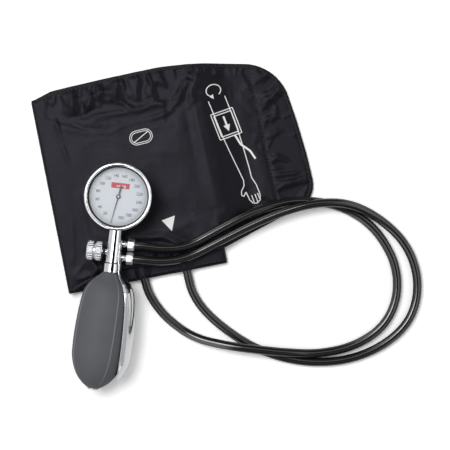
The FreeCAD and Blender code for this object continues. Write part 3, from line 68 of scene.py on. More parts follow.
# each hose: its fitting's place down the stem, its port, its length in metres and its way between
HOSES = {
    "hose_upper": (34.0, PORTS[0], 0.484, (
        (-6, -18, 18.2), (12.5, -16.5, 14), (33.4, -4.9, 13.4), (58.5, 8.5, 12.2),
        (83.9, 16.7, 7.4), (105, 17.8, 7.3), (124, 14.2, 3.6), (141, 6.3, 3.4),
        (156.1, -7.9, 3.4), (168, -30.3, 3.4), (169, -54.9, 3.4), (158.9, -76.5, 3.4),
        (136.9, -91, 3.4), (110.2, -96.8, 3.4), (84.4, -95.1, 9), (62.8, -92.6, 11.8),
        (41.9, -90, 10.8), (16.4, -84.8, 3.8), (-3.6, -70.2, 3.4), (-13.8, -57.2, 3.5))),
    "hose_lower": (44.0, PORTS[1], 0.494, (
        (-6, -27.4, 17.8), (12, -24.9, 13.9), (33.4, -13.9, 13.4), (58.5, -0.8, 12.8),
        (83.9, 10, 13.2), (109, 16.5, 14.6), (134.5, 15.6, 9.6), (159.9, 1.8, 3.4),
        (177.7, -17.6, 3.4), (185.2, -43.7, 3.4), (180, -69.8, 3.4), (162.1, -88.5, 3.4),
        (136, -100.5, 3.4), (108, -103.5, 3.4), (82.5, -99.8, 3.4), (58.6, -90.8, 3.4),
        (37.8, -76.6, 3.4), (23.5, -63.5, 3.4), (15.5, -51, 3.5))),
}

# --- camera ---
EYE = (40.0, -0.4, 940.0)
LENS_MM = 100.3
SENSOR_MM = 36.0

# the floor's paleness: as it lights the object, as metal mirrors it, as the camera sees it
FLOOR_PAINT = 0.35
FLOOR_MIRRORED = 0.9
FLOOR_SEEN = 1.45
FLOOR_SIZE = 3.0
AMBIENT = 0.5

# what mirrors in glossy surfaces: (direction from -1 to 1, brightness) along X and Y
WALLS_X = ((-1.0, 0.8), (-0.8, 0.9), (-0.62, 1.2), (-0.5, 2.4), (-0.38, 2.0), (-0.27, 0.01),
           (0.45, 0.01), (0.52, 1.2), (0.66, 1.2), (0.8, 0.5), (1.0, 0.6))
WALLS_Y = ((-0.8, 0.1), (-0.5, 0.4), (-0.36, 0.4), (-0.28, 0.01), (0.13, 0.01), (0.24, 1.5),
           (0.4, 1.5), (0.52, 0.2), (0.8, 0.1))

# --- frames ---
def joint(name):
    return next(j for j in frame["joints"] if j["name"] == name)


def handset_frame():
    """X to the right of the stem, Y towards the gauge, Z out of the dial, in metres."""
    out = -Vector(joint("pointer_turn")["axis"])
    right = -Vector(joint("valve_turn")["axis"])
    matrix = Matrix((right, out.cross(right), out)).transposed().to_4x4()
    matrix.translation = Vector(joint("pointer_turn")["pos_m"]) - out * POINTER_PLANE * MM
    return matrix


HANDSET = handset_frame()
CUFF = Matrix.Translation((CUFF_PLACE[0] * MM, CUFF_PLACE[1] * MM, 0)) @ \
    Matrix.Rotation(radians(CUFF_YAW), 4, "Z")


def on_handset(x, y, z):
    return HANDSET @ (Vector((x, y, z)) * MM)


def on_cuff(x, y, z):
    return CUFF @ (Vector((x, y, z)) * MM)


# --- mesh helpers ---
def set_all(owner, **values):
    for key, value in values.items():
        setattr(owner, key, value)


def added(name, data):
    obj = bpy.data.objects.new(name, data)
    scene.collection.objects.link(obj)
    return obj


def piece(name, verts, faces, slot, material, body="root", smooth=True):
    """A mesh object in metres that rides on a body."""
    mesh = bpy.data.meshes.new(name)
    mesh.from_pydata([tuple(v) for v in verts], [], faces)
    mesh.polygons.foreach_set("use_smooth", [smooth] * len(mesh.polygons))
    mesh.materials.append(material)
    mesh.update()
    obj = added(name, mesh)
    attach(obj, body)
    return obj


def outward(obj):
    """Turns the faces of a closed mesh outwards."""
    mesh = bmesh.new()
    mesh.from_mesh(obj.data)
    bmesh.ops.recalc_face_normals(mesh, faces=mesh.faces)
    mesh.to_mesh(obj.data)
    mesh.free()
    return obj


def ring_faces(rings, around, closed_along=False):
    """Quads that join rings of points, each ring closed on itself."""
    faces = []
    for i in range(rings if closed_along else rings - 1):
        here, there = i * around, (i + 1) % rings * around
        for j in range(around):
            k = (j + 1) % around
            faces.append((here + j, here + k, there + k, there + j))
    return faces


def capped_faces(rings, around):
    """The faces of a closed skin over a row of rings with flat ends."""
    ends = [tuple(reversed(range(around))), tuple((rings - 1) * around + j for j in range(around))]
    return ring_faces(rings, around) + ends


def capped_rings(name, rings, slot, material, body="root"):
    verts = [p for ring in rings for p in ring]
    faces = capped_faces(len(rings), len(rings[0]))
    return outward(piece(name, verts, faces, slot, material, body))


def grid_faces(rows, wide):
    return [(r * wide + c, r * wide + c + 1, (r + 1) * wide + c + 1, (r + 1) * wide + c)
            for r in range(rows - 1) for c in range(wide - 1)]


def lerp(a, b, t):
    return a + (b - a) * t


def turned(radius, degrees):
    """Right and up for a turn clockwise from the top."""
    turn = radians(degrees)
    return radius * sin(turn), radius * cos(turn)


def smoothstep(low, high, x):
    t = min(max((x - low) / (high - low), 0.0), 1.0)
    return t * t * (3 - 2 * t)


def waver(x, y, per_x, per_y, layer):
    """Smooth noise over the cuff's plan."""
    return noise.noise(Vector((x * per_x, y * per_y, layer)))


def bell(distance, half):
    return exp(-(distance / half) ** 2)


def arc_points(a, middle, b, count):
    """Points from a to b on the circle through three points of a plane, without the first."""
    (ax, ay), (mx, my), (bx, by) = a, middle, b
    d = 2 * (ax * (my - by) + mx * (by - ay) + bx * (ay - my))
    aa, mm, bb = ax ** 2 + ay ** 2, mx ** 2 + my ** 2, bx ** 2 + by ** 2
    ux = (aa * (my - by) + mm * (by - ay) + bb * (ay - my)) / d
    uy = (aa * (bx - mx) + mm * (ax - bx) + bb * (mx - ax)) / d
    start, end = atan2(ay - uy, ax - ux), atan2(by - uy, bx - ux)
    through = atan2(my - uy, mx - ux)
    turn = (end - start) % tau
    if (through - start) % tau > turn:
        turn -= tau
    radius = hypot(ax - ux, ay - uy)
    return [(ux + radius * cos(start + turn * i / count),
             uy + radius * sin(start + turn * i / count)) for i in range(1, count + 1)]


def circle(x, y, rx, ry, start=0, stop=360, count=28):
    turns = [radians(lerp(start, stop, i / count)) for i in range(count + 1)]
    return [(x + rx * cos(turn), y + ry * sin(turn)) for turn in turns]


def resampled(points, count):
    """The same line with evenly spaced points."""
    lengths = [0.0]
    for p, q in zip(points, points[1:]):
        lengths.append(lengths[-1] + dist(p, q))
    result, k = [], 0
    for i in range(count + 1):
        target = lengths[-1] * i / count
        while k < len(lengths) - 2 and lengths[k + 1] < target:
            k += 1
        t = (target - lengths[k]) / max(lengths[k + 1] - lengths[k], 1e-9)
        result.append(tuple(lerp(p, q, t) for p, q in zip(points[k], points[k + 1])))
    return result


def paced(line, pace):
    """The same line with points about a pace apart."""
    total = sum(dist(p, q) for p, q in zip(line, line[1:]))
    return resampled(line, max(int(total / pace), 2))


# --- materials ---
class Nodes:
    """Short calls for a node tree; links are (socket name, source) pairs."""

    def __init__(self, owner):
        owner.use_nodes = True
        self.tree = owner.node_tree

    def link(self, source, target):
        self.tree.links.new(source, target)

    def node(self, kind, links=(), **values):
        made = self.tree.nodes.new("ShaderNode" + kind)
        for key, value in values.items():
            if hasattr(made, key):
                setattr(made, key, value)
            else:
                made.inputs[key.replace("_", " ")].default_value = value
        for socket, source in dict(links).items():
            self.link(source, made.inputs[socket])
        return made

    def math(self, operation, a, b=None):
        made = self.node("Math", operation=operation)
        for socket, value in zip(made.inputs, (a, b)):
            if isinstance(value, (int, float)):
                socket.default_value = value
            elif value is not None:
                self.link(value, socket)
        return made.outputs[0]

    def mixed(self, a, a_share, b, b_share):
        a, b = self.math("MULTIPLY", a, a_share), self.math("MULTIPLY", b, b_share)
        return self.math("ADD", a, b)

    def ramp(self, value, *stops):
        made = self.node("ValToRGB", {"Fac": value})
        elements = made.color_ramp.elements
        while len(elements) < len(stops):
            elements.new(0.5)
        for element, (position, color) in zip(elements, stops):
            element.position = position
            element.color = (*color, 1.0)
        return made.outputs["Color"]


class Look(Nodes):
    """A material with short calls for its one shader."""

    def __init__(self, name, color, roughness, **sockets):
        self.material = bpy.data.materials.new(name)
        super().__init__(self.material)
        self.shader = self.tree.nodes["Principled BSDF"]
        values = {"Base_Color": (*color, 1.0), "Roughness": roughness, **sockets}
        for socket, value in values.items():
            self.shader.inputs[socket.replace("_", " ")].default_value = value
        self.place = self.node("TexCoord").outputs["Object"]

    def noise(self, per_metre, detail=3.0, roughness=0.55):
        made = self.node("TexNoise", {"Vector": self.place}, Scale=per_metre, Detail=detail,
                         Roughness=roughness)
        return made.outputs["Fac"]

    def color(self, value, *stops):
        self.link(self.ramp(value, *stops), self.shader.inputs["Base Color"])

    def rough(self, value, low, high):
        made = self.node("MapRange", {"Value": value}, From_Min=0.3, From_Max=0.7,
                         To_Min=low, To_Max=high)
        self.link(made.outputs["Result"], self.shader.inputs["Roughness"])

    def bump(self, height, distance, strength=1.0):
        made = self.node("Bump", {"Height": height}, Distance=distance * MM, Strength=strength)
        self.link(made.outputs["Normal"], self.shader.inputs["Normal"])


def shade(color, factor):
    return tuple(channel * factor for channel in color)


def metal_look(name, color, low, high, wear=0.9, grain=900.0, depth=0.004):
    """Polished or turned metal: faint smudges in its gloss and a very fine grain."""
    look = Look(name, color, low, Metallic=1.0)
    smudge = look.noise(70.0, 4.0)
    look.rough(smudge, low, high)
    look.color(smudge, (0.35, shade(color, wear)), (0.65, color))
    look.bump(look.noise(grain, 2.0), depth, 0.5)
    return look.material


def rubber_look(name, color, low, high, grain, depth, dust=1.25, **sockets):
    look = Look(name, color, low, **sockets)
    patches = look.noise(55.0, 5.0)
    look.rough(patches, low, high)
    look.color(patches, (0.35, color), (0.7, shade(color, dust)))
    look.bump(look.noise(grain, 3.0), depth, 0.6)
    return look.material


def woven_look(name, color, threads, depth, low, high, gloss):
    """Plain weave: threads that run along and across the cloth pass over and under."""
    look = Look(name, color, low, Specular_IOR_Level=gloss, Specular_Tint=(0.86, 0.84, 1.0, 1.0))
    cloth = look.node("TexCoord").outputs["UV"]
    waves = []
    for direction in ("X", "Y"):
        wave = look.node("TexWave", {"Vector": cloth}, bands_direction=direction, Scale=threads,
                         Distortion=0.6, Detail=1.0)
        waves.append(wave.outputs["Fac"])
    weave = look.math("MULTIPLY", waves[0], waves[1])
    patches = look.noise(38.0, 5.0)
    look.rough(patches, low, high)
    tone = look.mixed(weave, 0.35, patches, 0.65)
    look.color(tone, (0.25, shade(color, 0.8)), (0.75, shade(color, 1.3)))
    creases = look.math("MULTIPLY", look.noise(160.0, 6.0, 0.6), 2.5)
    look.bump(look.math("ADD", weave, creases), depth, 0.7)
    return look.material


def printed_look(name, color):
    look = Look(name, color, 0.5, Specular_IOR_Level=0.2)
    specks = look.noise(1400.0, 4.0)
    look.color(specks, (0.3, shade(color, 0.86)), (0.6, color))
    look.rough(specks, 0.42, 0.6)
    look.bump(specks, 0.01, 0.4)
    return look.material


def dial_look():
    """White print with painted shade that turns it a little greyer towards the rim, under the bezel's lip."""
    look = Look("dial_face", (0.68, 0.71, 0.77), 0.4, Specular_IOR_Level=0.3)
    centre = on_handset(0, 0, DIAL_TOP)
    away = look.node("VectorMath", {0: look.place}, operation="DISTANCE")
    away.inputs[1].default_value = centre
    # painted shade: from three quarters of the radius outwards, the colour darkens to about two thirds of its
    # value at the rim
    rings = look.math("MULTIPLY", away.outputs["Value"], 1 / (22 * MM))
    look.color(rings, (0.0, (0.70, 0.73, 0.79)), (0.74, (0.67, 0.71, 0.76)),
               (0.86, (0.58, 0.62, 0.66)), (0.97, (0.46, 0.50, 0.54)))
    look.rough(look.noise(400.0), 0.35, 0.5)
    return look.material


def glass_look():
    look = Look("clear_lens", (0.95, 0.97, 1.0), 0.03, Alpha=0.06, IOR=1.5)
    look.rough(look.noise(90.0, 3.0), 0.02, 0.06)
    return look.material


# colour, roughness from and to, then what the look's function takes next
METALS = {
    "chrome": ((0.80, 0.81, 0.83), 0.05, 0.11, 0.94),
    "satin_chrome": ((0.60, 0.61, 0.63), 0.34, 0.44, 0.94),
    "brass": ((0.66, 0.49, 0.22), 0.2, 0.34, 0.85),
    "bronze": ((0.60, 0.40, 0.20), 0.22, 0.38, 0.8),
    "steel": ((0.55, 0.56, 0.58), 0.22, 0.36, 0.85),
}
RUBBERS = {
    "seal_rubber": ((0.012, 0.012, 0.013), 0.5, 0.65, 900.0, 0.03),
    "pointer_black": ((0.010, 0.010, 0.011), 0.35, 0.5, 1500.0, 0.01),
    "bladder_rubber": ((0.03, 0.03, 0.033), 0.5, 0.7, 500.0, 0.04),
}
# colour, threads in a metre, depth, roughness from and to, gloss
CLOTHS = {
    "nylon": ((0.0045, 0.0040, 0.0062), 900.0, 0.05, 0.33, 0.41, 0.18),
    "binding_tape": ((0.0050, 0.0046, 0.0058), 700.0, 0.08, 0.4, 0.5, 0.2),
    "hook_tape": ((0.010, 0.010, 0.011), 500.0, 0.2, 0.7, 0.9, 0.3),
    "loop_tape": ((0.014, 0.014, 0.014), 500.0, 0.2, 0.8, 0.95, 0.3),
}
LOOKS = {name: look(name, *row) for look, rows in
         ((metal_look, METALS), (rubber_look, RUBBERS), (woven_look, CLOTHS))
         for name, row in rows.items()}
LOOKS["hose_rubber"] = rubber_look("hose_rubber", (0.006, 0.006, 0.006), 0.13, 0.2, 500.0, 0.02,
                                   1.4, Specular_IOR_Level=0.85)
LOOKS["bulb_rubber"] = rubber_look("bulb_inside", (0.105, 0.108, 0.120), 0.55, 0.65, 700.0, 0.05)
LOOKS["glass"] = glass_look()
LOOKS["dial_face"] = dial_look()
WHITE_PRINT = printed_look("white_print", (0.90, 0.90, 0.90))
BLACK_PRINT = printed_look("black_print", (0.07, 0.075, 0.09))
GREY_PRINT = printed_look("grey_print", (0.30, 0.32, 0.34))
RED_PRINT = printed_look("red_print", (0.60, 0.03, 0.045))
# near-black: the painted shade beside the binding tape, and the dark collar joint and lens seal of the handset
SHADE_AND_JOINT_BLACK = printed_look("shade_and_joint_black", (0.0015, 0.0015, 0.0016))
THREAD = rubber_look("thread", (0.02, 0.02, 0.021), 0.5, 0.7, 3000.0, 0.04)

# nodes whose metal shows a satin plating in the photograph
PLATED = ("valve_knob", "intake_valve_body", "pinion_arbor", "ferrule_upper", "ferrule_lower")


def dress_cad_nodes():
    for part in frame["record"]["subparts"]:
        obj = frame["nodes"][part["node"]]
        obj.data.materials.clear()
        look = "satin_chrome" if part["node"] in PLATED else part["material_slot"]
        obj.data.materials.append(LOOKS[look])


# --- camera, floor and light ---
def make_camera():
    data = bpy.data.cameras.new("camera")
    data.lens = LENS_MM
    data.sensor_width = SENSOR_MM
    camera = added("camera", data)
    camera.location = Vector(EYE) * MM
    scene.camera = camera


def make_floor():
    """A pale square whose paint differs for the camera, for mirrors and for bounced light."""
    half = FLOOR_SIZE / 2
    mesh = bpy.data.meshes.new("floor")
    corners = ((-half, -half), (half, -half), (half, half), (-half, half))
    mesh.from_pydata([(x, y, 0) for x, y in corners], [], [(0, 1, 2, 3)])
    material = bpy.data.materials.new("floor")
    paint = Nodes(material)
    paint.tree.nodes.clear()
    path = paint.node("LightPath").outputs
    seen, mirrored = (paint.math("MULTIPLY", path[ray], paleness) for ray, paleness in
                      (("Is Camera Ray", FLOOR_SEEN), ("Is Glossy Ray", FLOOR_MIRRORED)))
    tone = paint.math("MAXIMUM", paint.math("MAXIMUM", seen, FLOOR_PAINT), mirrored)
    diffuse = paint.node("BsdfDiffuse", {"Color": tone})
    paint.node("OutputMaterial", {"Surface": diffuse.outputs[0]})
    mesh.materials.append(material)
    added("floor", mesh)


def make_world():
    """A pale room that mirrors as white walls round a dark patch overhead, as above a camera
    that looks straight down."""
    world = bpy.data.worlds.new("studio")
    scene.world = world
    room = Nodes(world)
    room.tree.nodes.clear()
    direction = room.node("TexCoord").outputs["Generated"]
    split = room.node("SeparateXYZ", {0: direction}).outputs
    walls = []
    for axis, stops in (("X", WALLS_X), ("Y", WALLS_Y)):
        spread = room.node("MapRange", {"Value": split[axis]}, From_Min=-1.0)
        levels = [((place + 1) / 2, (level,) * 3) for place, level in stops]
        walls.append(room.ramp(spread.outputs["Result"], *levels))
    path = room.node("LightPath").outputs
    ambient = room.node("Background", Strength=AMBIENT)
    mirrored = room.node("Background", {"Strength": room.math("MAXIMUM", *walls)})
    white = room.node("Background", Color=(1, 1, 1, 1))
    seen = room.math("MAXIMUM", path["Is Camera Ray"], path["Is Transmission Ray"])
    light = room.node("MixShader", {0: path["Is Glossy Ray"], 1: ambient.outputs[0],
                                    2: mirrored.outputs[0]})
    shown = room.node("MixShader", {0: seen, 1: light.outputs[0], 2: white.outputs[0]})
    room.node("OutputWorld", {"Surface": shown.outputs[0]})


LIT_PLACE = (0.02, -0.01, 0.0)


def make_light(name, place, size, watts):
    data = bpy.data.lights.new(name, "AREA")
    data.size = size
    data.energy = watts
    light = added(name, data)
    light.location = place
    aim = Vector(LIT_PLACE) - Vector(place)
    light.rotation_euler = aim.to_track_quat("-Z", "Y").to_euler()


def make_lights():
    make_light("key", (-0.32, 0.25, 1.06), 0.50, 6.5)
    make_light("fill", (0.80, -0.10, 0.80), 0.60, 0.8)


# --- hoses ---
def hose(name, fitting, port, length, points):
    route = [on_handset(FERRULE_END + HOSE_SEAM, -fitting, 0),
             on_handset(FERRULE_END + HOSE_LEAD, -fitting, 0)]
    route += [Vector(point) * MM for point in points]
    route += [on_cuff(port, -HOSE_MOUTH, PORT_HEIGHT), on_cuff(port, PORT_DEPTH, PORT_HEIGHT)]
    curve = bpy.data.curves.new(name, "CURVE")
    set_all(curve, dimensions="3D", bevel_depth=HOSE_DIAMETER / 2 * MM, bevel_resolution=6,
            resolution_u=14, use_fill_caps=True)
    spline = curve.splines.new("NURBS")
    spline.points.add(len(route) - 1)
    for point, place in zip(spline.points, route):
        point.co = (*place, 1)
    set_all(spline, order_u=3, use_endpoint_u=True)
    curve.materials.append(LOOKS["hose_rubber"])
    obj = added(name + "_rubber", curve)
    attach(obj, "root")
    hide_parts(name)
    tuple(route[0])


# --- gauge dial ---
PRINT_LIFT = 0.03
BOLDNESS = 0.03
TICK_OUTER = 20.1
TICK_INNER = 18.8
LONG_TICK_INNER = 17.9
# half width of a scale mark in degrees, and how much wider those beside a number are
TICK_HALF = 0.05 / 19 * (180 / pi)
TICK_BOLDER = 1.6
NUMBERS_RADIUS = 15.4
NUMBERS_HEIGHT = 2.2
NUMBERS_WIDTH = 0.94


def on_dial(value, radius):
    """Right and up on the dial for a reading."""
    return turned(radius, DIAL_ZERO + DIAL_SWEEP * value / FULL_SCALE)


def dial_ticks():
    """Scale marks every 2, longer every 10."""
    verts, faces = [], []
    for value in range(0, FULL_SCALE + 1, 2):
        inner = LONG_TICK_INNER if value % 10 == 0 else TICK_INNER
        width = TICK_HALF * (TICK_BOLDER if value % 20 == 0 else 1.0) * FULL_SCALE / DIAL_SWEEP
        first = len(verts)
        for side, radius in ((-1, inner), (-1, TICK_OUTER), (1, TICK_OUTER), (1, inner)):
            x, y = on_dial(value + side * width, radius)
            verts.append(on_handset(x, y, DIAL_TOP + PRINT_LIFT))
        faces.append(tuple(range(first, first + 4)))
    piece("dial_ticks", verts, faces, "dial_face", GREY_PRINT, smooth=False)


# share of a font's size that its capitals are high
LETTER_SHARE = 0.7


def lettering(name, words, material):
    """Flat words on the dial: (text, x, y, height of its letters, width factor, lift)."""
    verts, faces = [], []
    for text, x, y, size, squeeze, lift in words:
        curve = bpy.data.curves.new(name, "FONT")
        set_all(curve, body=text, align_x="CENTER", align_y="CENTER", size=size / LETTER_SHARE,
                resolution_u=3, offset=BOLDNESS)
        obj = bpy.data.objects.new(name, curve)
        mesh = bpy.data.meshes.new_from_object(obj)
        first = len(verts)
        for vertex in mesh.vertices:
            verts.append(on_handset(x + vertex.co.x * squeeze, y + vertex.co.y, DIAL_TOP + lift))
        faces += [tuple(first + i for i in polygon.vertices) for polygon in mesh.polygons]
        bpy.data.meshes.remove(mesh)
        bpy.data.objects.remove(obj)
        bpy.data.curves.remove(curve)
    piece(name, verts, faces, "dial_face", material, smooth=False)


def dial_numbers():
    lettering("dial_numbers", [(str(value), *on_dial(value, NUMBERS_RADIUS), NUMBERS_HEIGHT,
                                NUMBERS_WIDTH, PRINT_LIFT)
                               for value in range(20, FULL_SCALE + 1, 20)], BLACK_PRINT)


def dial_label():
    """A red bar with the unit in white."""
    x, y, half_length, half_height, corner = 0.6, 8.1, 6.7, 2.0, 0.3
    points = []
    for cx, cy, start in ((1, 1, 0), (-1, 1, 90), (-1, -1, 180), (1, -1, 270)):
        points += circle(x + cx * (half_length - corner), y + cy * (half_height - corner),
                         corner, corner, start, start + 90, 4)
    verts = [on_handset(px, py, DIAL_TOP + PRINT_LIFT) for px, py in points]
    piece("dial_bar", verts, [tuple(range(len(verts)))], "dial_face", RED_PRINT, smooth=False)
    lettering("dial_unit", [("mmHg", x + 0.6, y - 0.2, 1.9, 0.95, 2 * PRINT_LIFT)], WHITE_PRINT)


POINTER_THICKNESS = 0.3
# the hand's thin end: distance from its arbor and half width
POINTER_END = ((16.2, 0.17), (20.3, 0.13))


def pointer_end():
    """The thin end of the hand, which reaches the scale marks as in the photograph."""
    x, y = turned(1, DIAL_ZERO)
    rings = [[on_handset(radius * x + side * half * y, radius * y - side * half * x,
                         POINTER_PLANE + rise * POINTER_THICKNESS)
              for side, rise in ((-1, 0), (1, 0), (1, 1), (-1, 1))] for radius, half in POINTER_END]
    capped_rings("pointer_end", rings, "pointer_black", LOOKS["pointer_black"], "pointer")


# --- dark joints of the handset ---
SEAM_S = (48.3, 48.95)
SEAM_RADII = (5.5, 5.98)
SEAL_HEIGHTS = (LENS_TOP - 0.05, LENS_TOP + 0.2)
SEAL_RADII = (21.4, 22.3)


def dark_ring(name, slot, radii, levels, place):
    """A black ring with a square section between two radii and two levels."""
    inner, outer = radii
    low, high = levels
    section = ((inner, low), (outer, low), (outer, high), (inner, high))
    verts = [place(*turned(r, 3.0 * i), level) for i in range(120) for r, level in section]
    faces = ring_faces(120, len(section), closed_along=True)
    return outward(piece(name, verts, faces, slot, SHADE_AND_JOINT_BLACK))


def dark_rings():
    """The gap above the union nut and the seal between lens and bezel."""
    dark_ring("collar_gap", "chrome", SEAM_RADII, SEAM_S, lambda a, b, s: on_handset(a, -s, b))
    dark_ring("lens_seal", "seal_rubber", SEAL_RADII, SEAL_HEIGHTS, on_handset)


# --- bulb ---
BULB_START = 55.8
BULB_LENGTH = 85.5
BULB_RADIUS = 20.3
BULB_NECK_RADIUS = 6.0
BULB_WALL = 2.2
BULB_NECK_BORE = 4.0
BULB_PLUG_RADIUS = 2.65
BULB_OVER_CLOTH = 40
BULB_CLEARANCE = 0.5
BULB_LEAN = radians(2.8)
LEAN_C, LEAN_S = cos(BULB_LEAN), sin(BULB_LEAN)
BULB_SHAPE = (((0.035, 0.433), (0.084, 0.66)), ((0.143, 0.825), (0.236, 0.935)),
              ((0.458, 0.995), (0.657, 0.985)), ((0.788, 0.902), (0.894, 0.70)),
              ((0.950, 0.50), (1.0, 0.197)))
# mould seams: turn about the bulb's axis from its top, clockwise seen from the gauge, half width
BULB_SEAMS = ((-59.5, 2.4), (31, 1.3), (121, 1.3), (211, 2.4))
SEAM_RIDGE = 0.5
SEAM_SHOULDER = 0.30
SEAM_LEVEL = 0.25
SEAM_STEPS = (-2.0, -1.6, -1.2, -0.8, -0.4, 0.0, 0.4, 0.8, 1.2, 1.6, 2.0)
# the bulb's inner side: shares of its length from end to neck
INNER_SHARES = (1.0, 0.93, 0.86, 0.6, 0.3, 0.16, 0.0)


def bulb_profile(count=110):
    """The bulb's outline from neck to end: (radius, distance from the neck)."""
    here = (BULB_NECK_RADIUS, 0.0)
    line = [here]
    for middle, end in BULB_SHAPE:
        middle, end = ((BULB_RADIUS * width, BULB_LENGTH * share) for share, width in (middle, end))
        line += arc_points(here, middle, end, 24)
        here = end
    line = resampled(line, count)
    for _ in range(5):
        line = [line[0]] + [((a[0] + 2 * b[0] + c[0]) / 4, b[1])
                            for a, b, c in zip(line, line[1:], line[2:])] + [line[-1]]
    return line


BULB_OUTLINE = bulb_profile()
BULB_COLOR = (0.105, 0.107, 0.119)


def from_seam(degrees, seam):
    return (degrees - seam + 180) % 360 - 180


def seam_relief(degrees, share):
    """How far the skin stands out at the mould seams, and how flat it is between them."""
    fade = sin(pi * min(max(share, 0.0), 1.0)) ** 0.6
    relief = 0.0
    for seam, half in BULB_SEAMS:
        turn = from_seam(degrees, seam)
        relief += SEAM_RIDGE * bell(turn, half) + SEAM_SHOULDER * bell(turn, 16)
    return (relief - SEAM_LEVEL) * fade


def on_bulb(radius, away, degrees):
    """A place about the bulb's axis, which leans a little from the stem's."""
    x, z = turned(radius, degrees)
    return on_handset(x * LEAN_C - away * LEAN_S, -BULB_START - away * LEAN_C - x * LEAN_S, z)


def bulb_look():
    """Matt grey rubber with a painted highlight: paler along its mould seams, where the ridges catch the light."""
    look = Look("bulb_rubber", BULB_COLOR, 0.6, Specular_IOR_Level=0.25)
    patches = look.noise(55.0, 5.0)
    # random patches give a slight tone; the seam mask paints a highlight along each mould seam, up to about twice
    # the rubber's colour
    seams = look.node("Attribute", attribute_name="seam_highlight").outputs["Fac"]
    tone = look.mixed(patches, 0.3, seams, 0.7)
    look.color(tone, (0.1, BULB_COLOR), (0.22, shade(BULB_COLOR, 1.1)),
               (0.85, shade(BULB_COLOR, 2.1)))
    look.rough(patches, 0.55, 0.65)
    look.bump(look.noise(700.0, 3.0), 0.05, 0.6)
    return look.material


def bulb():
    turns = [3.0 * i for i in range(120)]
    turns += [(seam + half * step) % 360 for seam, half in BULB_SEAMS for step in SEAM_STEPS]
    turns = sorted(set(turns))
    rings = [[on_bulb(radius + seam_relief(turn, away / BULB_LENGTH), away, turn) for turn in turns]
             for radius, away in BULB_OUTLINE]
    for share in INNER_SHARES:
        radius, away = BULB_OUTLINE[round(share * (len(BULB_OUTLINE) - 1))]
        narrow = BULB_PLUG_RADIUS if share > 0.9 else BULB_NECK_BORE
        inner = narrow if share in (0.0, 1.0) else max(radius - BULB_WALL, narrow)
        rings.append([on_bulb(inner, away, turn) for turn in turns])
    verts = [p for ring in rings for p in ring]
    faces = ring_faces(len(rings), len(turns), closed_along=True)
    skin = outward(piece("bulb_skin", verts, faces, "bulb_rubber", bulb_look()))
    # mask of the seams' painted highlight: a bell about each seam's turn, 1 on the seam line
    seam_highlight = skin.data.attributes.new("seam_highlight", "FLOAT", "POINT")
    near_seam = [max(bell(from_seam(turn, seam), half) for seam, half in BULB_SEAMS)
                 for turn in turns]
    seam_highlight.data.foreach_set("value", near_seam * len(rings))
    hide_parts("bulb")


def clear_of_bulb(point):
    """The same place, or just under the bulb's skin where that lies on the cloth."""
    place = (HANDSET.inverted() @ point) / MM
    x, y = place.x, place.y + BULB_START
    across, away = x * LEAN_C - y * LEAN_S, -(y * LEAN_C + x * LEAN_S)
    if not 0 < away < BULB_OVER_CLOTH:
        return point
    radius = next(r for r, along in BULB_OUTLINE if along >= away) + BULB_CLEARANCE
    if abs(across) >= radius:
        return point
    under = -sqrt(radius ** 2 - across ** 2)
    return point if place.z < under else point + UP * ((under - place.z) * MM)


# --- cuff ---
CUFF_WIDTH = 146.5
FOLDED_LENGTH = 120.4
CUFF_REACH = 195.0
LAYER = 3.0
LAYER_GAP = 0.2
HALF_LAYER = 1.45
INNER_END = 5.0
FOLD_RADIUS = (LAYER + LAYER_GAP) / 2
FOLD_INSET = FOLD_RADIUS + LAYER / 2
LEFT_FOLD = FOLD_INSET
RIGHT_FOLD = FOLDED_LENGTH - FOLD_INSET
TOP_LENGTH = CUFF_REACH - FOLD_INSET
DRAPE_START = 122.0
DRAPE_RADIUS = 30.0
DRAPE_LIFT = 0.1
TAPE_WIDTH = 3.2
TAPE_HALF_THICKNESS = 1.38
COVER_INSET = 1.2


def layer_height(number):
    return LAYER / 2 + number * (LAYER + LAYER_GAP)


def drape(x):
    """Middle height of the top layer: level, then an S down to the table."""
    high, low = layer_height(2), LAYER / 2 + DRAPE_LIFT
    turn = acos(1 - (high - low) / (2 * DRAPE_RADIUS))
    end = DRAPE_START + 2 * DRAPE_RADIUS * sin(turn)
    if x <= DRAPE_START:
        return high
    if x >= end:
        return low
    if x <= (DRAPE_START + end) / 2:
        return high - DRAPE_RADIUS + sqrt(DRAPE_RADIUS ** 2 - (x - DRAPE_START) ** 2)
    return low + DRAPE_RADIUS - sqrt(DRAPE_RADIUS ** 2 - (end - x) ** 2)


def drape_slope(x):
    return drape(x + 0.5) - drape(x - 0.5)


def top_edges():
    """The top layer's near, right and far edges, which meet in its two round corners."""
    reach, width = CUFF_REACH, CUFF_WIDTH
    near = [(LEFT_FOLD, 0.0)] + arc_points((LEFT_FOLD, 0), (30, 8.5), (71, 7), 20)
    near += [(117, 10.5), (reach - 15, 29.5)]
    corner = arc_points((reach - 15, 29.5), (reach - 4.6, 36), (reach, 50), 16)
    near += corner[:8]
    right = corner[7:] + arc_points((reach, 50), (reach - 2.4, 86), (reach - 5.6, width - 35.5), 20)
    corner = arc_points((reach - 5.6, width - 35.5), (reach - 13, width - 16),
                        (reach - 32, width - 3.5), 20)
    right += corner[:10]
    far = corner[9:] + arc_points((reach - 32, width - 3.5), (reach - 62, width + 2.4),
                                  (100, width + 6), 20)
    far += arc_points((100, width + 6), (50, width + 5.3), (16, width + 4), 20)
    far.append((LEFT_FOLD, width))
    return near, right, far


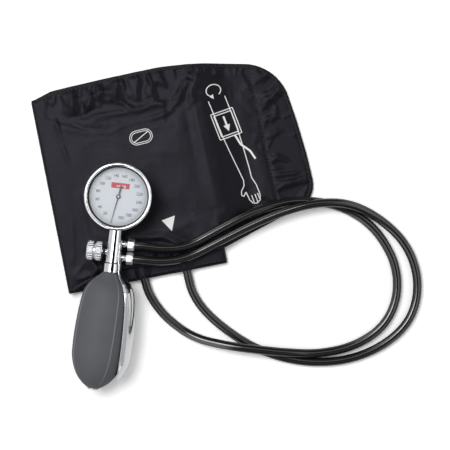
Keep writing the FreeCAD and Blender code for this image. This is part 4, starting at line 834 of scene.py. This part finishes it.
class TopLayer:
    """Maps (0..1 along, 0..1 across) to the top layer's plan, by its four edges."""

    def __init__(self, steps=400):
        near, right, far = top_edges()
        self.steps = steps
        self.near, self.far = resampled(near, steps), resampled(far[::-1], steps)
        self.left = [(LEFT_FOLD, CUFF_WIDTH * i / steps) for i in range(steps + 1)]
        self.right = resampled(right, steps)

    def edge(self, line, t):
        k = min(int(t * self.steps), self.steps - 1)
        f = t * self.steps - k
        return [lerp(a, b, f) for a, b in zip(line[k], line[k + 1])]

    def place(self, u, v):
        edges = [self.edge(line, t) for line, t in
                 ((self.near, u), (self.far, u), (self.left, v), (self.right, v))]
        corners = self.near[0], self.near[-1], self.far[0], self.far[-1]
        return [(1 - v) * near + v * far + (1 - u) * left + u * right
                - ((1 - u) * (1 - v) * a + u * (1 - v) * b + (1 - u) * v * c + u * v * d)
                for near, far, left, right, a, b, c, d in zip(*edges, *corners)]


TOP = TopLayer()

# long soft creases of the top layer: x0, y0, x1, y1, half width, height
CREASES = ((39.5, 133, 45.5, 139.5, 2.6, 1.9), (45.5, 139.5, 53, 143, 2.8, 2.0),
           (53, 143, 64, 139.5, 2.8, 1.8), (37.5, 130.5, 45, 135, 2.2, 1.5),
           (45, 135, 52, 130.5, 2.2, 1.2), (90, 138, 88.5, 129, 1.6, 1.3),
           (88.5, 129, 96.5, 125.5, 1.6, 1.1), (96.5, 125.5, 94.5, 111, 1.8, 0.8),
           (110, 141, 112, 121, 2.2, 1.2), (123, 149, 118.5, 143, 1.8, 1.4),
           (157, 137, 161, 126, 1.8, 1.2), (28, 139, 33, 131, 2.0, 1.1),
           (70, 146, 73, 133, 2.0, 1.2),
           (15, 141, 17, 108, 1.6, 1.0), (17, 108, 20, 92, 1.4, 0.7), (20, 74, 23, 53, 1.5, -0.9),
           (23, 53, 21, 34, 1.6, -0.8), (25, 71, 29, 40, 2.4, 0.7), (118, 132, 121, 30, 3.4, 0.7),
           (112, 136, 113, 60, 4.0, -0.5), (129, 136, 131, 96, 3.0, -0.5),
           (60, 60, 100, 52, 4.5, 0.35), (70, 30, 110, 36, 4.0, 0.5), (40, 120, 90, 116, 5.0, 0.3),
           (8, 14, 30, 30, 2.2, 0.5), (84, 92, 108, 86, 4.0, 0.35), (8, 22, 14, 60, 2.0, 0.5))
SEWN_LINE = ((164.0, 137.5), (164.4, 126.0), (165.6, 103.6), (165.0, 70.7), (165.8, 46.3),
             (166.0, 27.5))
SEWN_X = 165.0
SEAM_HALF = 0.9


SEED = 7


def pucker_rows():
    """Short gathers that run in from the bound edges."""
    source = random.Random(SEED)
    rows = []
    x = 12.0
    while x < 172:
        y = edge_height(TOP.far, x) - 2.6
        reach = source.uniform(6, 20) * (1.25 if x < 110 else 0.8)
        slant = source.uniform(-0.45, 0.30)
        height = source.uniform(0.6, 1.5) * (1 if source.random() < 0.7 else -0.6)
        rows.append((x, y, x + slant * reach, y - reach, source.uniform(1.1, 2.3), height))
        x += source.uniform(4.5, 9.5)
    x = 20.0
    while x < 178:
        y = edge_height(TOP.near, x) + 2.6
        reach = source.uniform(4, 11)
        slant = source.uniform(-0.3, 0.3)
        rows.append((x, y, x + slant * reach, y + reach, source.uniform(1.0, 1.9),
                     source.uniform(0.25, 0.7)))
        x += source.uniform(6, 13)
    return rows


def edge_height(line, x):
    for (ax, ay), (bx, by) in zip(line, line[1:]):
        if min(ax, bx) <= x <= max(ax, bx) and ax != bx:
            return lerp(ay, by, (x - ax) / (bx - ax))
    return line[-1][1]


def ridge(x, y, row):
    """Height of one crease: sharp along its start, fading towards its end."""
    x0, y0, x1, y1, half, height = row
    dx, dy = x1 - x0, y1 - y0
    length = hypot(dx, dy)
    along = ((x - x0) * dx + (y - y0) * dy) / length ** 2
    if not -0.25 < along < 1.25:
        return 0.0
    across = abs((x - x0) * dy - (y - y0) * dx) / length
    wide = half * (0.8 + 0.6 * min(max(along, 0), 1))
    if across > 3 * wide:
        return 0.0
    ends = smoothstep(-0.2, 0.1, along) * (1 - smoothstep(0.45, 1.2, along))
    return height * ends * exp(-(across / wide) ** 1.5)


def sewn_distance(x, y):
    """Signed distance past the sewn line near the free end."""
    for (ax, ay), (bx, by) in zip(SEWN_LINE, SEWN_LINE[1:]):
        if min(ay, by) <= y <= max(ay, by):
            return x - lerp(ax, bx, (y - ay) / (by - ay))
    return x - SEWN_X


# the gauge weighs on the cloth and keeps it flat: x, y, radius
PRESSED = (52.0, 62.0, 25.0)


def relief(x, y, rows):
    """Height that folds, gathers and slack add to the top layer at a place."""
    height = sum(ridge(x, y, row) for row in rows)
    height += 0.75 * waver(x, y, 0.028, 0.022, 1.7) + 0.35 * waver(x, y, 0.085, 0.060, 5.1)
    past = sewn_distance(x, y)
    height -= 0.9 * bell(past, 1.1)
    if past > 0:
        place = Vector((x * 0.07, y * 0.05, 9.0))
        crumple = noise.ridged_multi_fractal(place, 1.0, 2.0, 3, 1.0, 2.0)
        height += smoothstep(0, 5, past) * 0.45 * (crumple - 1.0)
    px, py, radius = PRESSED
    return height * (0.15 + 0.85 * smoothstep(radius - 4, radius + 8, hypot(x - px, y - py)))


# the swell over the hoses' ends: height over their axis, half width, depths where it fades
PORT_SWELL = 4.15
SWELL_HALF = 7.5
SWELL_FADES = (7.0, 24.0)
# spacing of the points beside a hose's end, and steps round a fold
PORT_PITCH = 1.1
FOLD_STEPS = 8
# points of the cover: across, along the lower layers and along the top layer
COVER_ACROSS = 116
COVER_LOWER = 26
COVER_ALONG = 175
# points of the tape along the lower layers
TAPE_LOWER = 40


def eased(x, y, z):
    """A place of the cuff: pushed up where a hose goes in under it, pressed in under the bulb."""
    near = max(bell(x - port, SWELL_HALF) for port in PORTS)
    rise = PORT_HEIGHT + PORT_SWELL * near * (1 - smoothstep(*SWELL_FADES, y))
    return clear_of_bulb(on_cuff(x, y, max(z, rise) if z > PORT_HEIGHT else z))


def lower_places(count):
    """Places along the lower layers, closer together where the hoses go in."""
    places = {lerp(LEFT_FOLD, RIGHT_FOLD, i / count) for i in range(1, count)}
    places |= {port + PORT_PITCH * i for port in PORTS for i in range(-8, 9)}
    return sorted(places)


def fold(x, height, side):
    """A half turn from one layer up to the next: side is 1 on the right and -1 on the left."""
    line = []
    for i in range(FOLD_STEPS + 1):
        angle = radians(-90 + side * 180 * i / FOLD_STEPS)
        c, s = cos(angle), sin(angle)
        line.append((x + FOLD_RADIUS * c, height + FOLD_RADIUS * s, (-side * c, -side * s)))
    return line


def lower_path(count):
    """Middle line of the two lower layers and both folds: (x, height, normal) rows."""
    low, middle, high = (layer_height(i) for i in range(3))
    path = [(lerp(INNER_END, RIGHT_FOLD, i / count), low, (0, 1)) for i in range(count)]
    path += fold(RIGHT_FOLD, (low + middle) / 2, 1)
    path += [(x, middle, (0, -1)) for x in reversed(lower_places(count))]
    return path + fold(LEFT_FOLD, (middle + high) / 2, -1)


def cuff_rows():
    """Rows across the folded cover: points of the middle line, normals, place in the top layer."""
    inset = COVER_INSET / CUFF_WIDTH
    spread = [inset + (1 - 2 * inset) * j / COVER_ACROSS for j in range(COVER_ACROSS + 1)]
    rows = [[((x, CUFF_WIDTH * v, z), normal, None) for v in spread]
            for x, z, normal in lower_path(COVER_LOWER)]
    top_share = 1 - COVER_INSET / TOP_LENGTH
    for i in range(1, COVER_ALONG + 1):
        u = top_share * i / COVER_ALONG
        row = []
        for v in spread:
            x, y = TOP.place(u, v)
            slope = drape_slope(x)
            size = hypot(slope, 1)
            row.append(((x, y, drape(x)), (-slope / size, 1 / size), (u, v)))
        rows.append(row)
    return rows


# the cloth simulation: its scale and its frames
CLOTH_SCALE = 10.0
CLOTH_FRAMES = 24
# share of extra length, and how far in it reaches from the far and from the near edge
FULLNESS = 0.075
FULL_FAR = 42
FULL_NEAR = 24
# how firmly the lining holds the skin everywhere and in its flat middle, which comes up with the
# distance from the rim and ends before the sewn line
FOUNDATION = 0.05
FLAT_HOLD = 0.17
FLAT_FROM_RIM = (6, 60)
FLAT_TO_SEAM = (158, 163)
# how far the skin may sink and rise
LOWEST_LIFT = -0.45
HIGHEST_LIFT = 7.0


def rim_distance(u, v):
    return min(min(v, 1 - v) * CUFF_WIDTH, (1 - u) * TOP_LENGTH)


def held(x, y, rim):
    """How firmly the top layer is held in place: by tape, seam and the gauge that lies on it."""
    if rim < TAPE_WIDTH or x < LEFT_FOLD + 1.5 or abs(sewn_distance(x, y)) < SEAM_HALF:
        return 1.0
    px, py, radius = PRESSED
    on_it = 1 - smoothstep(radius - 6, radius + 4, hypot(x - px, y - py))
    flat = smoothstep(*FLAT_FROM_RIM, rim) * (1 - smoothstep(*FLAT_TO_SEAM, x))
    return max(lerp(FOUNDATION, FLAT_HOLD, flat), on_it)


def fullness(x, y, rim):
    """Share of the extra length sewn into the cloth: most along the taped edges and the end."""
    reach = FULL_FAR if y > CUFF_WIDTH / 2 else FULL_NEAR
    share = (1 - smoothstep(5, reach, rim)) * smoothstep(4, 26, x)
    if sewn_distance(x, y) > 0:
        share = max(share, 0.85)
    patch = waver(x, y, 0.03, 0.03, 3.3)
    return 0.01 + 0.99 * share * min(max(0.75 + 1.3 * patch, 0.0), 1.0)


def settled(rows):
    """Cloth simulation of the top layer's skin: lifts in millimetres, row by row."""
    wide = len(rows[0])
    size = CLOTH_SCALE * MM
    verts, pins, grown = [], [], []
    for row in rows:
        for (x, y, z), _, (u, v) in row:
            rim = rim_distance(u, v)
            start = z + 0.25 * waver(x, y, 0.11, 0.11, 7.7)
            verts.append((x * size, y * size, start * size))
            pins.append(held(x, y, rim))
            grown.append(1 - fullness(x, y, rim))
    mesh = bpy.data.meshes.new("slack")
    mesh.from_pydata(verts, [], grid_faces(len(rows), wide))
    obj = added("slack", mesh)
    for name, weights in (("held", pins), ("full", grown)):
        group = obj.vertex_groups.new(name=name)
        for index, weight in enumerate(weights):
            group.add([index], weight, "REPLACE")
    cloth = obj.modifiers.new("cloth", "CLOTH")
    cloth.point_cache.frame_end = CLOTH_FRAMES
    set_all(cloth.settings, quality=6, mass=0.05, air_damping=3.0, tension_stiffness=18.0,
            compression_stiffness=18.0, shear_stiffness=6.0, bending_stiffness=0.6,
            vertex_group_mass="held", pin_stiffness=1.0, vertex_group_shrink="full",
            shrink_min=-FULLNESS)
    cloth.settings.effector_weights.gravity = 0.0
    for moment in range(1, CLOTH_FRAMES + 1):
        scene.frame_set(moment)
    shaped = obj.evaluated_get(bpy.context.evaluated_depsgraph_get()).to_mesh()
    lifts = [(vertex.co.z - start[2]) / size for vertex, start in zip(shaped.vertices, verts)]
    scene.frame_set(1)
    bpy.data.objects.remove(obj)
    bpy.data.meshes.remove(mesh)
    return [lifts[r * wide:(r + 1) * wide] for r in range(len(rows))]


def lay_out(obj, places):
    """Gives each point its place on the flat cloth, for the weave."""
    layer = obj.data.uv_layers.new(name="cloth")
    for loop in obj.data.loops:
        layer.data[loop.index].uv = places[loop.vertex_index]
    return obj


def cuff_cover():
    """The folded cover as one closed skin: an outer face, an inner face and a rim."""
    gathers = list(CREASES) + pucker_rows()
    rows = cuff_rows()
    wide, count = len(rows[0]), len(rows)
    lower = next(r for r, row in enumerate(rows) if row[0][2])
    slack = settled(rows[lower:])
    outer, inner, cloth = [], [], []
    travelled = 0.0
    for r, row in enumerate(rows):
        travelled += dist(rows[max(r - 1, 0)][wide // 2][0], row[wide // 2][0])
        for c, ((x, y, z), (nx, nz), top) in enumerate(row):
            lift, thin = 0.0, 1.0
            if top:
                rim = rim_distance(*top)
                thin = 0.72 + 0.28 * smoothstep(0.0, 7.0, rim)
                lift = relief(x, y, gathers) * smoothstep(0.5, 4.5, rim)
                lift *= smoothstep(0.0, 0.06, top[0])
                if slack:
                    lift += slack[r - lower][c]
                lift = min(max(lift, LOWEST_LIFT), HIGHEST_LIFT)
            up = HALF_LAYER * thin + lift
            outer.append(eased(x + nx * up, y, z + nz * up))
            down = HALF_LAYER * thin
            inner.append(eased(x - nx * down, y, z - nz * down))
            cloth.append((travelled * MM, CUFF_WIDTH * MM * c / (wide - 1)))
    total = len(outer)
    faces = []
    for a, b, c, d in grid_faces(count, wide):
        faces += [(a, b, c, d), (total + a, total + d, total + c, total + b)]
    rim = list(range(wide)) + [r * wide + wide - 1 for r in range(1, count)]
    rim += [(count - 1) * wide + c for c in reversed(range(wide - 1))]
    rim += [r * wide for r in reversed(range(1, count - 1))]
    for a, b in zip(rim, rim[1:] + rim[:1]):
        faces.append((b, a, total + a, total + b))
    skin = piece("cuff_sheet", outer + inner, faces, "nylon", LOOKS["nylon"])
    lay_out(skin, cloth + cloth)
    outward(skin)
    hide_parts("cuff_cover")
    return skin


def lower_line(y):
    """The lower layers' line at one place across."""
    return [((x, y, z), (nx, 0, nz)) for x, z, (nx, nz) in lower_path(TAPE_LOWER)]


def inset_line(points, inset):
    """A plan line moved to its left by the inset."""
    moved = []
    for i, (x, y) in enumerate(points):
        before, after = points[max(i - 1, 0)], points[min(i + 1, len(points) - 1)]
        dx, dy = after[0] - before[0], after[1] - before[1]
        size = hypot(dx, dy)
        moved.append((x - dy / size * inset, y + dx / size * inset))
    return moved


def round_the_top(inset, count):
    """The line round the top layer's free edges, at an inset, from the near to the far fold."""
    near, right, far = top_edges()
    line = near + right[1:] + far[1:]
    return inset_line(resampled(line, count), inset)


def tape(name, line, around=16):
    """Binding tape folded over an edge: line has (point, normal) rows in the cuff's frame."""
    profile = []
    for i in range(around):
        angle = tau * i / around
        c, s = cos(angle), sin(angle)
        profile.append((copysign(abs(c) ** 0.45, c) * TAPE_WIDTH / 2,
                        copysign(abs(s) ** 0.6, s) * TAPE_HALF_THICKNESS))
    rings = []
    for i, (point, normal) in enumerate(line):
        before, after = Vector(line[max(i - 1, 0)][0]), Vector(line[min(i + 1, len(line) - 1)][0])
        along = (after - before).normalized()
        normal = Vector(normal)
        across = along.cross(normal).normalized()
        wave = 1 + 0.07 * noise.noise(Vector(point) * 0.11)
        rings.append([eased(*(Vector(point) + across * a * wave + normal * b * wave))
                      for a, b in profile])
    obj = capped_rings(name, rings, "binding_tape", LOOKS["binding_tape"])
    return lay_out(obj, [(row * 2.0 * MM, column * 0.6 * MM)
                         for row in range(len(line)) for column in range(around)])


def cuff_binding():
    """Tape round the top layer and along both edges of the lower layers."""
    half = TAPE_WIDTH / 2
    top = tape("binding_top", [((x, y, drape(x)), Vector((-drape_slope(x), 0, 1)).normalized())
                               for x, y in round_the_top(half, 330)])
    near = tape("binding_near", lower_line(half))
    far = tape("binding_far", lower_line(CUFF_WIDTH - half))
    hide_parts("cuff_binding")
    return top, near, far


# --- stitches and print on the cuff ---
TREES = []


def lay_on(objects):
    """Notes the cloth that print and thread lie on."""
    for obj in objects:
        TREES.append(BVHTree.FromPolygons([v.co for v in obj.data.vertices],
                                          [p.vertices for p in obj.data.polygons]))


def on_cloth(x, y, lift):
    """The place above a place of the cuff's plan, at a height over the cloth."""
    start = on_cuff(x, y, 60)
    hits = [tree.ray_cast(start, -UP)[0] for tree in TREES]
    height = max((hit.z for hit in hits if hit), default=drape(x) * MM)
    return Vector((start.x, start.y, height + lift * MM))


def stitches(name, line, pitch=3.0, length=2.1, radius=0.22, around=6, along=4):
    """A row of thread stitches: short bodies sunk at both ends."""
    points = paced(line, pitch)
    verts, faces = [], []
    for (ax, ay), (bx, by) in zip(points, points[1:]):
        step = dist((ax, ay), (bx, by))
        share = length / step
        side = CUFF.to_3x3() @ (Vector((-(by - ay), bx - ax, 0)) / step)
        first = len(verts)
        for i in range(along + 1):
            t = i / along
            arch = sin(pi * t)
            centre = on_cloth(lerp(ax, bx, t * share), lerp(ay, by, t * share), 0.24 * arch - 0.16)
            swell = radius * (0.5 + 0.5 * arch) * MM
            for j in range(around):
                angle = tau * j / around
                verts.append(centre + side * swell * cos(angle) + UP * swell * sin(angle))
        faces += [tuple(first + k for k in face) for face in capped_faces(along + 1, around)]
    return outward(piece(name, verts, faces, "binding_tape", THREAD))


def stroke(lines, width, lift=0.12, spacing=0.8):
    """Ribbons of print that lie on the cloth: vertices and faces for a list of plan lines."""
    verts, faces = [], []
    for line in lines:
        points = paced(line, spacing)
        first = len(verts)
        for pair in zip(inset_line(points, width / 2), inset_line(points, -width / 2)):
            verts += [on_cloth(x, y, lift) for x, y in pair]
        faces += [(k, k + 1, k + 3, k + 2) for k in range(first, len(verts) - 2, 2)]
    return verts, faces


def filled(outline, lift=0.12, cell=1.6):
    """A filled plan polygon that lies on the cloth."""
    mesh = bmesh.new()
    mesh.faces.new([mesh.verts.new((x, y, 0)) for x, y in outline])
    bmesh.ops.triangulate(mesh, faces=mesh.faces)
    longest = max(edge.calc_length() for edge in mesh.edges)
    bmesh.ops.subdivide_edges(mesh, edges=mesh.edges, cuts=min(int(longest / cell), 14),
                              use_grid_fill=True)
    mesh.verts.index_update()
    verts = [on_cloth(v.co.x, v.co.y, lift) for v in mesh.verts]
    faces = [tuple(v.index for v in face.verts) for face in mesh.faces]
    mesh.free()
    return verts, faces


def joined(*groups):
    verts, faces = [], []
    for more_verts, more_faces in groups:
        first = len(verts)
        verts += more_verts
        faces += [tuple(first + i for i in face) for face in more_faces]
    return verts, faces


def placed(points, x, y, degrees):
    """Plan points turned and moved."""
    c, s = cos(radians(degrees)), sin(radians(degrees))
    return [(x + (px * c - py * s), y + (px * s + py * c)) for px, py in points]


def stadium(half_length, radius):
    line = circle(half_length - radius, 0, radius, radius, -90, 90, 14)
    line += circle(radius - half_length, 0, radius, radius, 90, 270, 14)
    return line + line[:1]


LOZENGE_PLACE = (75.5, 104.2, 3)
LOZENGE_LINES = (stadium(8.5, 5.2), stadium(7.2, 3.9))
LOZENGE_STRIKE = ((-6.2, -3.0), (6.2, 3.0))
ARTERY_MARK = ((78.5, 40.4), (84.5, 31.2), (88.9, 42.1))
# the wearing picture: arm, hand, cuff with its hem, fingers and the arrow's bow as thin lines,
# an arrow's stem and the tube as bold lines, and the filled heads of both arrows
PICTURE_PLACE = (142.0, 88.0, 10.0)
PICTURE_LINES = (
    [(-6.5, 34), (-6.2, 20), (-6.0, 6), (-5.0, -8), (-3.8, -22), (-3.2, -30)],
    [(6.5, 34), (6.6, 20), (6.4, 6), (5.4, -8), (4.2, -22), (3.2, -30)],
    [(-3.2, -30), (-4.4, -34), (-7.6, -37), (-8.6, -40), (-7.2, -41.2), (-4.6, -38.6), (-4.2, -45),
     (-2.6, -48.4), (0.4, -49.4), (3.2, -48.0), (4.6, -44), (4.5, -36), (3.2, -30)],
    [(-8.6, 24), (8.6, 24), (8.6, 4), (-8.6, 4), (-8.6, 24)],
    [(-6.8, 22.2), (6.8, 22.2), (6.8, 5.8), (-6.8, 5.8), (-6.8, 22.2)],
    circle(0, 40.5, 5.6, 4.4, -60, 240),
    [(-1.6, -48.0), (-1.6, -42.5)], [(1.0, -48.8), (1.0, -42.5)], [(3.2, -47.4), (3.0, -42.5)])
PICTURE_BOLD = ([(0, 13.0), (0, 20.0)], [(3.0, 4.0), (4.6, -4.0), (9.4, -11.0), (11.0, -18.0)])
PICTURE_HEADS = ([(-4.4, 36.8), (-2.0, 34.4), (-1.3, 38.1)], [(0, 8.2), (2.6, 13.2), (-2.6, 13.2)])


def cuff_marks():
    """White marks on the cover: a lozenge, an artery marker and a simple wearing picture."""
    def marks(lines, place, width):
        return stroke([placed(line, *place) for line in lines], width)

    verts, faces = joined(
        marks(LOZENGE_LINES, LOZENGE_PLACE, 0.5), marks([LOZENGE_STRIKE], LOZENGE_PLACE, 0.62),
        filled(ARTERY_MARK),
        marks(PICTURE_LINES, PICTURE_PLACE, 0.72), marks(PICTURE_BOLD, PICTURE_PLACE, 1.5),
        *(filled(placed(head, *PICTURE_PLACE)) for head in PICTURE_HEADS))
    piece("cuff_print", verts, faces, "dial_face", WHITE_PRINT)


def sewing():
    """Painted shade beside the tape, a near-black stroke on the cloth where the tape's edge shades it; stitches on
    it and two rows on the line near the free end.
    """
    seam = TAPE_WIDTH - 0.7
    # painted shade: a near-black ribbon on the cloth just inside the tape, where its raised edge shades it
    shade_and_joint_black = stroke([round_the_top(TAPE_WIDTH + 0.35, 400)], 0.95, 0.05)
    piece("binding_edge_shade", *shade_and_joint_black, "binding_tape", SHADE_AND_JOINT_BLACK)
    stitches("stitches_edge", round_the_top(seam, 400))
    for name, shift in (("stitches_inner_a", -SEAM_HALF), ("stitches_inner_b", SEAM_HALF)):
        stitches(name, [(x + shift, y) for x, y in SEWN_LINE], 2.8, 2.0, 0.2)
    stitches("stitches_lower", [(8.0, seam), (FOLDED_LENGTH - 4.0, seam)])


# --- making ---
make_camera()
make_floor()
make_world()
make_lights()
dress_cad_nodes()
for hose_name, row in HOSES.items():
    hose(hose_name, *row)
dial_ticks()
dial_numbers()
dial_label()
pointer_end()
dark_rings()
bulb()
lay_on([cuff_cover(), *cuff_binding()])
cuff_marks()
sewing()

scene.view_settings.view_transform = "Standard"
